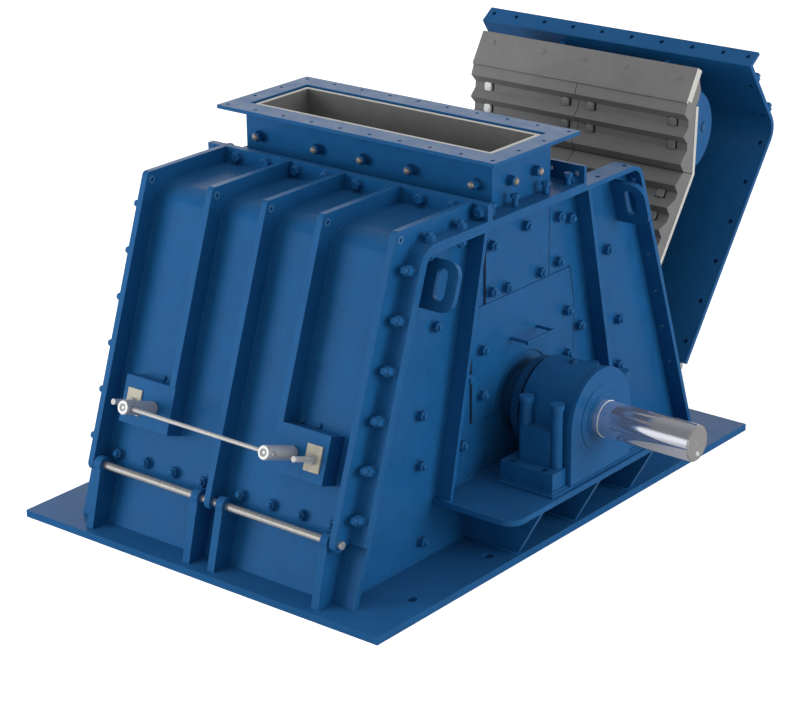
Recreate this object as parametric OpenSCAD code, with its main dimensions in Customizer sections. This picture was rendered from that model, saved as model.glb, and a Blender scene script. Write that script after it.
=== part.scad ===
// Reversible coal crusher with two hinged end doors, one shut and one standing open.
// X runs along the rotor, -Y is the front door, +Y the rear door, Z is up.
// The origin is the centre of the underside of the base plate.

/* [Base] */
// Reach of the base plate beyond a side plate
base_margin = 368; // [300:1:442]
// Reach of the base plate beyond the foot of an end face
base_end = 155; // [129:1:186]
// Thickness of the base plate
base_t = 40; // [32:1:48]
// Width of the discharge opening in the base plate
discharge_w = 1500; // [1250:10:1560]
// Length of the discharge opening in the base plate
discharge_l = 2700; // [2240:10:2860]
// Radius of an anchor hole
anchor_r = 28; // [22:1:34]

/* [Housing] */
// Half the clear width between the side plates
inner_half = 800; // [780:10:960]
// Thickness of a side plate
side_t = 32; // [26:1:40]
// Reach of the end and top flanges out from a side plate
flange_reach = 100; // [84:1:120]
// Thickness of those flanges
flange_t = 25; // [20:1:30]
// Lean of the end faces from upright
lean = 19.2; // [16:0.1:20]
// Distance of the end faces from the middle, on the base plate
face_y = 1500; // [1490:1:1510]
// Height of the top of the housing
top_z = 1710; // [1600:1:2060]
// Radius of the shoulder between the end faces and the top
bend_r = 100; // [80:1:120]
// Thickness of the fixed end walls below the doors
wall_t = 30; // [24:1:36]
// Distance of the top beams from the middle
beam_out = 412; // [400:1:430]

/* [Doors] */
// Angle at which the rear door stands open
open_angle = 55.5; // [40:0.5:56]
// Thickness of a door's shell
skin_t = 25; // [20:1:30]
// Distance from the end face to the outer edge of the ribs
rib_reach = 136; // [130:1:164]
// Thickness of a rib
rib_t = 36; // [30:1:44]
// Distance of the middle ribs from the door's centre
rib_mid = 365; // [304:1:390]
// Distance of a hinge pin from the middle
pin_y = 1490; // [1484:1:1496]
// Height of the hinge pins
pin_z = 360; // [340:1:430]
// Radius of a hinge pin
pin_r = 21; // [17:0.5:26]
// Height of the upright flange along a door's top edge
strip_h = 110; // [92:1:132]

/* [Rotor] */
// Height of the rotor's axis
axis_z = 660; // [640:1:760]
// Radius of the shaft
shaft_r = 95; // [79:1:114]
// Length of the drive end beyond its bearing
shaft_out = 576; // [400:1:700]
// Radius swept by the hammers
hammer_sweep = 600; // [500:1:612]
// Radius of the rotor discs
disc_r = 400; // [370:1:430]
// Rows of hammers around the rotor
hammer_rows = 6; // [4:1:6]

/* [Breakers] */
// Width of the gap between a breaker apron and the side plates
apron_gap = 55; // [46:1:66]
// Thickness of the apron's carrier plate
carrier_t = 26; // [21:1:32]
// Thickness of carrier and liner together at a ridge
ridge_t = 150; // [132:1:180]
// Thickness of carrier and liner together at the floor of a groove
groove_t = 98; // [82:1:110]
// Length of the apron's upper panel
upper_len = 379; // [360:1:400]
// Thickness of the curtain plate on the apron's top edge
curtain_t = 40; // [32:1:48]
// Radius of the rod that the apron hangs on
pivot_r = 30; // [25:1:36]

/* [Feed inlet] */
// Length of the inlet flange along the rotor
inlet_w = 1841; // [1540:1:1860]
// Width of the inlet flange
inlet_l = 731; // [700:1:780]
// Height of the inlet flange above the housing
inlet_rise = 303; // [250:1:364]
// Thickness of the inlet flange
inlet_t = 20; // [16:1:24]
// Thickness of the wear liners in the inlet
inlet_liner_t = 40; // [32:1:48]

/* [Hidden] */
$fn = 64;

// Paint and metal colours
blue = [0.12, 0.33, 0.57];
liner_grey = [0.42, 0.42, 0.42];
dark = [0.15, 0.16, 0.18];
steel = [0.72, 0.70, 0.66];
cream = [0.75, 0.72, 0.62];

// eps makes solids that are one piece overlap
eps = 0.01;

// Clearances: a running fit, between faces that are welded or bolted together, and between
// a shut door and the housing
fit_gap = 0.05;
seat_gap = 0.02;
shut_gap = 0.3;

// Base
side_out = inner_half + side_t;
base_w = 2 * (side_out + base_margin);
base_l = 2 * (face_y + base_end);
anchor_x = base_w / 2 - 125;
anchor_out_y = base_l / 2 - 419;
anchor_y = [-anchor_out_y, -anchor_out_y / 2, anchor_out_y / 2, anchor_out_y];

// Housing
flange_out = side_out + flange_reach;
corner_s = (top_z - base_t) / cos(lean);
bend_turn = 90 - lean;
bend_s = corner_s - bend_r * tan(bend_turn / 2);
bend_c = slope_point(bend_s, -bend_r);
arc_steps = 8;
stiff_t = 24;
stiff_lean = 12.2;
beam_t = 20;

// Flange bolts: up the end faces, along the top and across the doors' top edges
hole_r = 14;
flange_bolt_x = side_out + flange_reach / 2;
slope_bolt_low = 435;
slope_bolt_gaps = 5;
slope_bolt_pitch = (bend_s - 32 - slope_bolt_low) / slope_bolt_gaps;
slope_bolt_s = [for (i = [0:slope_bolt_gaps]) slope_bolt_low + slope_bolt_pitch * i];
top_bolt_y = [-bend_c[0] - 17, beam_out + 173];
strip_pitch = (side_out - 8) / 4;
strip_bolt_x = concat([for (i = [0:3]) strip_pitch * (i + 0.5)], [flange_out - 47]);
strip_bolt_up = 68;

// Lifting eyes
lug_in = 140;
lug_t = 30;
lug_w = 213;
lug_corner = 75;
lug_s = [corner_s - 278, corner_s - 23];
lug_slot_s = [corner_s - 192, corner_s - 98];
lug_slot_x = 117;
lug_slot_r = 34;

// Access panels on the side plates
panel_t = 8;
panel_out = side_out + panel_t;
panel_gap = 4;
panel_seam_z = top_z - 454;
panel_low_z = axis_z - 14;
panel_half = 440;
panel_top_half = 400;
panel_corner = 189;
upper_panel_y = [-325, 213];
handle_half = 112;
handle_drop = 246;
handle_reach = 109;
handle_r = 8;
grip_half = 124;
grip_r = 10;

// Wear plates inside the side plates
side_liner_t = 25;
liner_gap = 4;
liner_in = 110;
liner_rows = 3;
liner_low = pin_z - 30;
liner_high = top_z - 90;

// Hinges and ribs
pin_foot_s = (face_y - pin_y) * sin(lean) + (pin_z - base_t) * cos(lean);
pin_out = (pin_y - face_y) * cos(lean) + (pin_z - base_t) * sin(lean);
shell_low = pin_foot_s + 6.5;
door_gap = 6;
rib_outer = side_out - 12;
rib_lug_r = rib_reach - pin_out;
rib_foot = 60;
gusset_x = [85, rib_outer - 50];
gusset_t = 46;
gusset_foot_y = face_y + 112;
gusset_lug_r = pin_r + 24;
gusset_drop = 32;
pin_half = side_out + 25;
strip_out = -beam_out - beam_t;
rib_in = skin_t + seat_gap;
rib_heel = [24, 12];
rib_hole_r = 13;
rib_corner_r = 24;
rib_corner_steps = 4;
rib_hole = bend_c + (rib_reach + 89) * [cos(133), sin(133)];

// Adjusters, placed on the slope: s up the face, t out of it
jack_s = 672;
jack_r = 37;
jack_reach = 352;
box_x0 = rib_mid - rib_t / 2;
box_w = 340;
box_s = [jack_s - 114, jack_s + 134];
box_reach = rib_reach - 6;
jack_x = box_x0 + 126;
clamp_x = box_x0 + 260;
clamp_w = 96;
clamp_s = [jack_s - 63, jack_s + 72];
clamp_t = 8;
screw_r = 20;
rod_room = 6;
tube_end = 50;
tip_gap = 10;
stud_r = 15;
stud_reach = jack_reach - 67;
nut_r = 27;
nut_h = 26;
shaft_reach = jack_reach - 32;
cross_r = 11;
cross_sink = 3;
cross_seat = 9;
cross_seat_r = 17;
jack_chamfer = 3;
jack_foot = 9;
socket_r = 15;
socket_depth = 18;

// Breaker apron: back face as points (y, z) of the shut front door
apron_half = inner_half - apron_gap;
apron_top = [-beam_out - 57, top_z - 309];
upper_lean = 52.3;
lower_lean = 20.5;
upper_dir = [-sin(upper_lean), -cos(upper_lean)];
lower_dir = [-sin(lower_lean), -cos(lower_lean)];
apron_knee = apron_top + upper_dir * upper_len;
toe_over = 65;
lower_len = jack_along() + toe_over;
carrier_over = 12;
groove_pitch = 130;
groove_run = [42, 80];
lower_start = 128;
lower_pitch = groove_pitch + 4;
upper_ridge = ridge_t - 13;
split_t = ridge_t - 35;
tail_foot = [-41, 4];
tail_bend = [-102, -17];
curtain_top = apron_top + [194, 122];
curtain_lean = 24;
curtain_dir = [-sin(curtain_lean), -cos(curtain_lean)];
curtain_len = 190;
curtain_lap = 45;

// Pivot of the apron, behind its upper panel
pivot_along = 122;
pivot = upper_point(pivot_along, -85);
web_r = 235;
web_bulge = 167;
web_t = 24;
web_sink = 5;
hanger_x = rib_mid;
hanger_t = 30;
hanger_eye = pivot_r + 30;
hanger_half = 140;
hanger_gap = 6;
web_x = [hanger_x - hanger_t / 2 - hanger_gap - web_t, apron_half - 36];

// Rotor
disc_gaps = 7;
disc_span = 2 * apron_half - 60;
disc_x = [for (i = [0:disc_gaps]) -disc_span / 2 + i * disc_span / disc_gaps];
disc_t = 40;
rotor_half = disc_span / 2 + disc_t / 2 + 12;
hub_r = shaft_r + 55;
pin_circles = [hub_r + 65, disc_r - 70];
hammer_pin_r = 28;
hammer_gap = 12;
shank_w = 110;
shank_r = hub_r + 22;
head_w = 170;
head_r = disc_r + 12;
head_rake = 30;

// Bearings and shelves
shelf_z = 342;
shelf_t = 30;
shelf_low = shelf_z - shelf_t;
shelf_x = side_out + 508;
shelf_y = 760;
shelf_corner = 90;
shelf_gusset_y = [-500, 0, 500];
shelf_web_t = 24;
shelf_foot_x = base_w / 2 - 20;
seal_r = shaft_r + 105;
seal_hub_r = seal_r - 50;
seal_flange_r = seal_r + 35;
seal_flange_x = [side_out + 98, side_out + 141];
barrel_r = shaft_r + 160;
barrel_x = [side_out + 168, side_out + 474];
face_x = side_out + 498;
face_r = barrel_r + 7;
cover_r = [shaft_r + 80, shaft_r + 27];
cover_t = 4;
cap_bolt_x = [side_out + 238, side_out + 428];
cap_bolt_r = 30;
cap_bolt_y = barrel_r + cap_bolt_r + 4;
cap_head_r = cap_bolt_r + 7;
cap_head_h = 30;
cap_bolt_low = 40;
cap_bolt_len = 400;
block_x = side_out + 226;
block_w = 180;
block_y = cap_bolt_y + 34;
foot_x = [side_out + 143, side_out + 468];
foot_y = barrel_r + 125;
sole_t = 25;
sole_step = 14;
sole_top = shelf_z + sole_t;
foot_top = sole_top + 93;
foot_hole_x = [side_out + 194, side_out + 390];
foot_hole_r = 24;
foot_hole_y = foot_y - foot_hole_r - 5;
groove_x = face_x + 36;

// Feed inlet
inlet_z = top_z + inlet_rise;
box_out_x = inlet_w / 2 - 101.5;
box_out_y = inlet_l / 2 - 117.5;
box_wall = 16;
box_in_x = box_out_x - box_wall;
box_in_y = box_out_y - box_wall;
foot_t = 20;
inlet_hole_r = 11;
inlet_hole_x = inlet_w / 2 - 42;
inlet_hole_y = inlet_l / 2 - 42;
inlet_holes_x = 9;
inlet_holes_y = 3;
inlet_liner_low = 10;
inlet_liner_drop = 8;
inlet_rebate = [14, 40];

// A point (y, z) at height s up the front end face and t out of it
function slope_point(s, t) = [
    -face_y + s * sin(lean) - t * cos(lean),
    base_t + s * cos(lean) + t * sin(lean)
];

// Distance of the end faces from the middle at height z
function face_at(z) = face_y - (z - base_t) * tan(lean);

// The shoulder between end face and top at distance t out of them, from the end face over
function bend_points(t) = [
    for (i = [0:arc_steps])
        let (a = 180 - lean - i * bend_turn / arc_steps)
            bend_c + (bend_r + t) * [cos(a), sin(a)]
];

function reversed(points) = [for (i = [len(points) - 1:-1:0]) points[i]];
function to_rear(points) = [for (p = reversed(points)) [-p[0], p[1]]];

// Outline (y, z) of the housing at distance t out of its faces, from the front foot to the rear
function housing_points(t) =
    let (front = concat([[-face_y - t / cos(lean), base_t]], bend_points(t)))
    concat(front, to_rear(front));

// The front end face as a frame: x across, -y outward, z up the slope
module on_slope() {
    translate([0, -face_y, base_t]) rotate([-lean, 0, 0]) children();
}

// An outline drawn as (y, z), made solid from x0 to x1
module along_x(x0, x1) {
    translate([x0, 0, 0]) rotate([90, 0, 90]) linear_extrude(x1 - x0) children();
}

// A round bar along X
module bar_x(x0, x1, y, z, r) {
    translate([x0, y, z]) rotate([0, 90, 0]) cylinder(h = x1 - x0, r = r);
}

// A round bar out of the end face at x on the jacks' height, between t0 and t1 out of it
module out_bar(x, t0, t1, r) {
    translate([x, -t0, jack_s]) rotate([90, 0, 0]) cylinder(h = t1 - t0, r = r);
}

// Copies on both sides of the rotor's middle
module both_sides() {
    children();
    mirror([1, 0, 0]) children();
}

// Copies at the front and the rear
module both_ends() {
    children();
    mirror([0, 1, 0]) children();
}

// Bolt holes through the side strips of a flange that follows the end face and the top
module strip_holes() {
    both_sides() {
        for (s = slope_bolt_s)
            on_slope() translate([flange_bolt_x, flange_reach / 2, s]) rotate([90, 0, 0])
                cylinder(h = flange_reach, r = hole_r);
        for (y = top_bolt_y)
            translate([flange_bolt_x, -y, top_z - flange_reach / 2])
                cylinder(h = flange_reach, r = hole_r);
    }
}

// Holes through a top beam and the door flange that bolts to it
module strip_cut() {
    both_sides() for (x = strip_bolt_x)
        translate([x, -beam_out + 3 * beam_t, top_z + strip_bolt_up]) rotate([90, 0, 0])
            cylinder(h = 6 * beam_t, r = hole_r);
}

// ---- Housing ----

module base_plate() {
    color(blue) difference() {
        translate([-base_w / 2, -base_l / 2, 0]) cube([base_w, base_l, base_t]);
        translate([-discharge_w / 2, -discharge_l / 2, -1])
            cube([discharge_w, discharge_l, base_t + 2]);
        for (x = [-anchor_x, anchor_x])
            for (y = anchor_y)
                translate([x, y, -1]) cylinder(h = base_t + 2, r = anchor_r);
    }
}

module side_plates() {
    color(blue) both_sides() difference() {
        along_x(inner_half, side_out) polygon(housing_points(0));
        bar_x(inner_half - 1, side_out + 1, 0, axis_z, seal_r);
    }
}

module side_flanges() {
    color(blue) difference() {
        both_sides() along_x(side_out, flange_out)
            polygon(concat(housing_points(0), reversed(housing_points(-flange_t))));
        strip_holes();
        mirror([0, 1, 0]) strip_holes();
    }
}

// Stiffeners lean like the end faces but less, from the shelf to the top flange
module side_stiffeners() {
    low_y = shelf_y - 15;
    high_z = top_z - flange_t;
    high_y = low_y - (high_z - shelf_z) * tan(stiff_lean);
    color(blue) both_sides() both_ends() along_x(side_out, flange_out) polygon([
        [-low_y, shelf_z], [-low_y + stiff_t, shelf_z],
        [-high_y + stiff_t, high_z], [-high_y, high_z]
    ]);
}

// Lifting eyes stand out of the side plates, on the same lean as the end faces
module lifting_lugs() {
    height = lug_s[1] - lug_s[0];
    flat = lug_w - lug_corner;
    color(blue) both_sides() both_ends() on_slope()
        translate([side_out, lug_in + lug_t, lug_s[0]]) rotate([90, 0, 0]) linear_extrude(lug_t)
            difference() {
                union() {
                    square([flat, height]);
                    translate([flat - eps, lug_corner])
                        square([lug_corner + eps, height - 2 * lug_corner]);
                    for (z = [lug_corner, height - lug_corner])
                        translate([flat, z]) circle(r = lug_corner);
                }
                for (z = lug_slot_s) translate([lug_slot_x, z - lug_s[0]]) circle(r = lug_slot_r);
                translate([lug_slot_x - lug_slot_r, lug_slot_s[0] - lug_s[0]])
                    square([2 * lug_slot_r, lug_slot_s[1] - lug_slot_s[0]]);
            }
}

// Bolted cover plates over the rotor
module access_panels() {
    half_gap = panel_gap / 2;
    color(blue) both_sides() {
        along_x(side_out, panel_out) polygon([
            [upper_panel_y[0], panel_seam_z + half_gap], [upper_panel_y[1], panel_seam_z + half_gap],
            [upper_panel_y[1], top_z - flange_t], [upper_panel_y[0], top_z - flange_t]
        ]);
        difference() {
            along_x(side_out, panel_out) polygon([
                [-panel_half, panel_low_z], [panel_half, panel_low_z],
                [panel_half, panel_seam_z - panel_corner],
                [panel_top_half, panel_seam_z - half_gap],
                [-panel_top_half, panel_seam_z - half_gap],
                [-panel_half, panel_seam_z - panel_corner]
            ]);
            bar_x(side_out - 1, panel_out + 1, 0, axis_z, seal_r + 45);
        }
    }
}

// A handle on each lower panel: two legs and a grip bar
module panel_handles() {
    color(blue) both_sides() translate([panel_out, 0, panel_seam_z - handle_drop]) union() {
        for (y = [-handle_half, handle_half])
            bar_x(0, handle_reach, y, 0, handle_r);
        translate([handle_reach, grip_half, 0]) rotate([90, 0, 0])
            cylinder(h = 2 * grip_half, r = grip_r);
    }
}

// Fixed walls between the side plates, below the doors
module end_walls() {
    color(blue) both_ends() along_x(-inner_half, inner_half) polygon([
        [-face_y, base_t],
        slope_point(shell_low - door_gap, 0),
        slope_point(shell_low - door_gap, -wall_t),
        [-face_y + wall_t / cos(lean), base_t]
    ]);
}

module top_beams() {
    color(blue) both_ends() difference() {
        translate([-flange_out, -beam_out, top_z])
            cube([2 * flange_out, beam_t, strip_h]);
        strip_cut();
    }
}

// Wear plates on the inner faces of the side plates, in bolted strips
module side_liners() {
    row_h = (liner_high - liner_low) / liner_rows;
    color(liner_grey) both_sides() difference() {
        for (i = [0:liner_rows - 1]) {
            low = liner_low + i * row_h;
            high = low + row_h - liner_gap;
            along_x(inner_half - side_liner_t, inner_half) polygon([
                [liner_in - face_at(low), low], [face_at(low) - liner_in, low],
                [face_at(high) - liner_in, high], [liner_in - face_at(high), high]
            ]);
        }
        bar_x(inner_half - side_liner_t - 1, inner_half + 1, 0, axis_z, seal_r + 1);
    }
}

// ---- Hinges ----

module hinge_gusset() {
    difference() {
        union() {
            along_x(-gusset_t / 2, gusset_t / 2) polygon([
                [-gusset_foot_y, base_t],
                [-face_y - seat_gap, base_t],
                slope_point(shell_low - gusset_drop, seat_gap),
                [-pin_y + gusset_lug_r * cos(lean), pin_z + gusset_lug_r * sin(lean)],
                [-pin_y - gusset_lug_r * cos(lean), pin_z - gusset_lug_r * sin(lean)]
            ]);
            bar_x(-gusset_t / 2, gusset_t / 2, -pin_y, pin_z, gusset_lug_r);
        }
        bar_x(-gusset_t, gusset_t, -pin_y, pin_z, pin_r + fit_gap);
    }
}

module hinge_gussets() {
    color(blue) both_ends() both_sides() for (x = gusset_x)
        translate([x, 0, 0]) hinge_gusset();
}

module hinge_pins() {
    color(steel) both_ends() bar_x(-pin_half, pin_half, -pin_y, pin_z, pin_r);
}

// ---- Bearings ----

// Shelves welded to the side plates
module bearing_shelves() {
    straight_x = shelf_x - shelf_corner;
    straight_y = shelf_y - shelf_corner;
    color(blue) both_sides() translate([0, 0, shelf_low]) linear_extrude(shelf_t) union() {
        translate([side_out, -shelf_y]) square([straight_x - side_out, 2 * shelf_y]);
        translate([straight_x - eps, -straight_y]) square([shelf_corner + eps, 2 * straight_y]);
        for (y = [-straight_y, straight_y])
            translate([straight_x, y]) circle(r = shelf_corner);
    }
}

// Three raked gussets under each shelf
module shelf_gussets() {
    color(blue) both_sides() for (y = shelf_gusset_y)
        translate([0, y + shelf_web_t / 2, 0]) rotate([90, 0, 0])
            linear_extrude(shelf_web_t) polygon([
                [side_out, base_t], [shelf_foot_x, base_t],
                [shelf_x - 8, shelf_low], [side_out, shelf_low]
            ]);
}

module bearing_soles() {
    length = foot_x[1] - foot_x[0];
    color(blue) both_sides() union() {
        translate([foot_x[0] - 8, -foot_y - 28, shelf_z])
            cube([length + 28, 2 * foot_y + 56, sole_step]);
        translate([foot_x[0], -foot_y - 12, shelf_z])
            cube([length + 8, 2 * foot_y + 24, sole_t]);
    }
}

module cap_bolt_places() {
    for (x = cap_bolt_x)
        for (y = [-cap_bolt_y, cap_bolt_y])
            translate([x, y, sole_top + cap_bolt_low]) children();
}

// A pillow block: foot, bolting block, round barrel and stepped end cover
module bearing() {
    difference() {
        union() {
            translate([foot_x[0], -foot_y, sole_top])
                cube([foot_x[1] - foot_x[0], 2 * foot_y, foot_top - sole_top]);
            translate([block_x, -block_y, sole_top])
                cube([block_w, 2 * block_y, axis_z - 5 - sole_top]);
            translate([barrel_x[0], -barrel_r, sole_top])
                cube([barrel_x[1] - barrel_x[0], 2 * barrel_r, axis_z - sole_top]);
            bar_x(barrel_x[0], barrel_x[1], 0, axis_z, barrel_r);
            translate([barrel_x[1], -face_r, sole_top])
                cube([face_x - barrel_x[1], 2 * face_r, axis_z - sole_top]);
            bar_x(barrel_x[1], face_x, 0, axis_z, face_r);
            bar_x(face_x - 1, face_x + cover_t, 0, axis_z, cover_r[0]);
            bar_x(face_x - 1, face_x + 2 * cover_t, 0, axis_z, cover_r[1]);
        }
        bar_x(foot_x[0] - 1, face_x + 3 * cover_t, 0, axis_z, shaft_r + fit_gap);
        cap_bolt_places() cylinder(h = cap_bolt_len, r = cap_bolt_r);
        for (x = foot_hole_x)
            for (y = [-foot_hole_y, foot_hole_y])
                translate([x, y, sole_top - 1]) cylinder(h = foot_top, r = foot_hole_r);
    }
}

module bearings() {
    color(blue) both_sides() bearing();
}

module cap_bolts() {
    color(blue) both_sides() cap_bolt_places() union() {
        cylinder(h = cap_bolt_len, r = cap_bolt_r - fit_gap);
        translate([0, 0, cap_bolt_len - cap_head_h]) cylinder(h = cap_head_h, r = cap_head_r);
    }
}

module shaft_seals() {
    color(dark) both_sides() difference() {
        union() {
            bar_x(inner_half - side_liner_t, side_out, 0, axis_z, seal_r);
            bar_x(side_out - 1, foot_x[0], 0, axis_z, seal_hub_r);
            bar_x(seal_flange_x[0], seal_flange_x[1], 0, axis_z, seal_flange_r);
        }
        bar_x(inner_half - side_liner_t - 1, foot_x[0] + 1, 0, axis_z, shaft_r + 1);
    }
}

// ---- Feed inlet ----

// The box and the plate under it that closes the roof between the two top beams
module inlet_box() {
    color(blue) difference() {
        union() {
            translate([-box_out_x, -box_out_y, top_z + foot_t - eps])
                cube([2 * box_out_x, 2 * box_out_y, inlet_z - inlet_t - top_z - foot_t + eps]);
            translate([-flange_out, -beam_out + beam_t, top_z])
                cube([2 * flange_out, 2 * (beam_out - beam_t), foot_t]);
        }
        translate([-box_in_x, -box_in_y, top_z - 1])
            cube([2 * box_in_x, 2 * box_in_y, inlet_rise]);
    }
}

module inlet_flange() {
    low = inlet_z - inlet_t;
    color(blue) difference() {
        translate([-inlet_w / 2, -inlet_l / 2, low]) cube([inlet_w, inlet_l, inlet_t]);
        translate([-box_in_x, -box_in_y, low - 1]) cube([2 * box_in_x, 2 * box_in_y, inlet_t + 2]);
        for (i = [0:inlet_holes_x])
            for (y = [-inlet_hole_y, inlet_hole_y])
                translate([(2 * i / inlet_holes_x - 1) * inlet_hole_x, y, low - 1])
                    cylinder(h = inlet_t + 2, r = inlet_hole_r);
        for (x = [-inlet_hole_x, inlet_hole_x])
            for (i = [1:inlet_holes_y - 1])
                translate([x, (2 * i / inlet_holes_y - 1) * inlet_hole_y, low - 1])
                    cylinder(h = inlet_t + 2, r = inlet_hole_r);
    }
}

module inlet_liners() {
    low = top_z + inlet_liner_low;
    high = inlet_z - inlet_liner_drop;
    clear_x = box_in_x - inlet_liner_t;
    clear_y = box_in_y - inlet_liner_t;
    lip_x = box_in_x - inlet_rebate[0];
    lip_y = box_in_y - inlet_rebate[0];
    lip_z = high - inlet_rebate[1];
    color(liner_grey) difference() {
        union() {
            translate([-box_in_x, -box_in_y, low]) cube([2 * box_in_x, 2 * box_in_y, lip_z - low]);
            translate([-lip_x, -lip_y, low]) cube([2 * lip_x, 2 * lip_y, high - low]);
        }
        translate([-clear_x, -clear_y, low - 1]) cube([2 * clear_x, 2 * clear_y, high - low + 2]);
    }
}

// ---- Rotor ----

module rotor_shaft() {
    drive_end = face_x + shaft_out;
    chamfer = 6;
    color(steel) difference() {
        union() {
            bar_x(-face_x - 2 * cover_t, drive_end - chamfer, 0, axis_z, shaft_r);
            bar_x(drive_end - chamfer - eps, drive_end, 0, axis_z, shaft_r - chamfer);
        }
        difference() {
            bar_x(groove_x, groove_x + 6, 0, axis_z, shaft_r + 1);
            bar_x(groove_x - 1, groove_x + 7, 0, axis_z, shaft_r - 4);
        }
        bar_x(drive_end - 40, drive_end + 1, 0, axis_z, 12);
    }
}

module hammer_places() {
    for (i = [0:hammer_rows - 1])
        translate([0, 0, axis_z]) rotate([i * 360 / hammer_rows, 0, 0]) children();
}

module hammer_pin_bars(clearance) {
    hammer_places() for (r = pin_circles)
        bar_x(-rotor_half, rotor_half, 0, r, hammer_pin_r + clearance);
}

module rotor_discs() {
    color(liner_grey) difference() {
        for (x = disc_x) bar_x(x - disc_t / 2, x + disc_t / 2, 0, axis_z, disc_r);
        bar_x(-rotor_half, rotor_half, 0, axis_z, shaft_r + fit_gap);
        hammer_pin_bars(fit_gap);
    }
}

// Rings on the shaft that hold the discs apart
module rotor_spacers() {
    seat = disc_t / 2 + seat_gap;
    color(liner_grey) difference() {
        for (i = [0:disc_gaps - 1])
            bar_x(disc_x[i] + seat, disc_x[i + 1] - seat, 0, axis_z, hub_r);
        bar_x(-rotor_half, rotor_half, 0, axis_z, shaft_r + fit_gap);
    }
}

module hammer_pins() {
    color(steel) hammer_pin_bars(0);
}

// T-headed hammers, each held by two pins between a pair of discs
module hammers() {
    color(liner_grey) difference() {
        hammer_places() for (i = [0:disc_gaps - 1])
            along_x(disc_x[i] + disc_t / 2 + hammer_gap, disc_x[i + 1] - disc_t / 2 - hammer_gap)
                polygon([
                    [-shank_w / 2, shank_r], [shank_w / 2, shank_r], [shank_w / 2, head_r],
                    [head_w / 2, head_r + head_rake], [head_w / 2, hammer_tip()],
                    [-head_w / 2, hammer_tip()], [-head_w / 2, head_r + head_rake],
                    [-shank_w / 2, head_r]
                ]);
        hammer_pin_bars(fit_gap);
    }
}

// Length of a hammer so that its corners sweep the stated radius
function hammer_tip() = sqrt(hammer_sweep * hammer_sweep - head_w * head_w / 4);

// ---- Doors, drawn shut at the front ----

// The front door's pieces at the rear, swung open about the rear hinge pin
module at_rear() {
    translate([0, pin_y, pin_z]) rotate([-open_angle, 0, 0]) translate([0, -pin_y, -pin_z])
        rotate([0, 0, 180]) children();
}

// The door's skin at distance t, from its lower edge over the shoulder to y
function skin_points(t, y) =
    concat([slope_point(shell_low, t)], bend_points(t), [[y, top_z + t]]);

module door_shell() {
    color(blue) difference() {
        along_x(-flange_out, flange_out) polygon(concat(
            skin_points(skin_t, strip_out),
            [[strip_out, top_z + strip_h], [-beam_out - shut_gap, top_z + strip_h]],
            reversed(skin_points(shut_gap, -beam_out - shut_gap))
        ));
        strip_holes();
        strip_cut();
        rod_holes();
    }
}

// Clearance holes for the jack screws and the tie rods, through box and shell
module rod_holes() {
    both_sides() on_slope() {
        out_bar(jack_x, -1, box_reach + 1, screw_r + rod_room);
        out_bar(clamp_x, -1, box_reach + 1, stud_r + rod_room);
    }
}

// Where the rib's sloping edge meets the height of its top edge
function rib_corner_y() =
    slope_point(0, rib_reach)[0] + (top_z + strip_h - slope_point(0, rib_reach)[1]) * tan(lean);

// The rounded corner of a rib, from its top over to its outer edge
function rib_corner() =
    let (run = rib_corner_r / tan(45 + lean / 2))
    let (middle = [rib_corner_y() + run, top_z + strip_h - rib_corner_r])
    [for (i = [0:rib_corner_steps])
        let (a = 90 + i * (90 - lean) / rib_corner_steps)
            middle + rib_corner_r * [cos(a), sin(a)]];

// A rib from s_foot on the end face over the shoulder to the top flange, with a lifting hole
// in its shoulder
module rib_plate(x, s_foot) {
    along_x(x - rib_t / 2, x + rib_t / 2) difference() {
        polygon(concat(
            [slope_point(s_foot, rib_in)], bend_points(rib_in),
            [[strip_out - seat_gap, top_z + rib_in], [strip_out - seat_gap, top_z + strip_h]],
            rib_corner(),
            [slope_point(s_foot, rib_reach)]
        ));
        translate(rib_hole) circle(r = rib_hole_r);
    }
}

// A rib with a foot that ends in a hinge eye
module hinged_rib(x) {
    difference() {
        union() {
            rib_plate(x, shell_low);
            along_x(x - rib_t / 2, x + rib_t / 2) polygon([
                slope_point(shell_low + rib_foot, rib_in),
                slope_point(shell_low, rib_in),
                slope_point(shell_low - rib_heel[0], pin_out - rib_lug_r * 0.8),
                slope_point(shell_low - rib_heel[1], rib_reach),
                slope_point(shell_low + rib_foot, rib_reach)
            ]);
            bar_x(x - rib_t / 2, x + rib_t / 2, -pin_y, pin_z, rib_lug_r);
        }
        bar_x(x - rib_t, x + rib_t, -pin_y, pin_z, pin_r + fit_gap);
    }
}

module door_ribs() {
    color(blue) {
        hinged_rib(0);
        both_sides() {
            rib_plate(rib_mid, box_s[1] + seat_gap);
            hinged_rib(rib_outer);
        }
    }
}

module adjuster_boxes() {
    color(blue) difference() {
        both_sides() on_slope() translate([box_x0, -box_reach, box_s[0]])
            cube([box_w, box_reach - rib_in, box_s[1] - box_s[0]]);
        rod_holes();
    }
}

module clamp_plates() {
    color(cream) both_sides() on_slope() difference() {
        translate([clamp_x - clamp_w / 2, -box_reach - clamp_t, clamp_s[0]])
            cube([clamp_w, clamp_t, clamp_s[1] - clamp_s[0]]);
        out_bar(clamp_x, box_reach - 1, box_reach + clamp_t + 1, stud_r + 1);
    }
}

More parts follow.
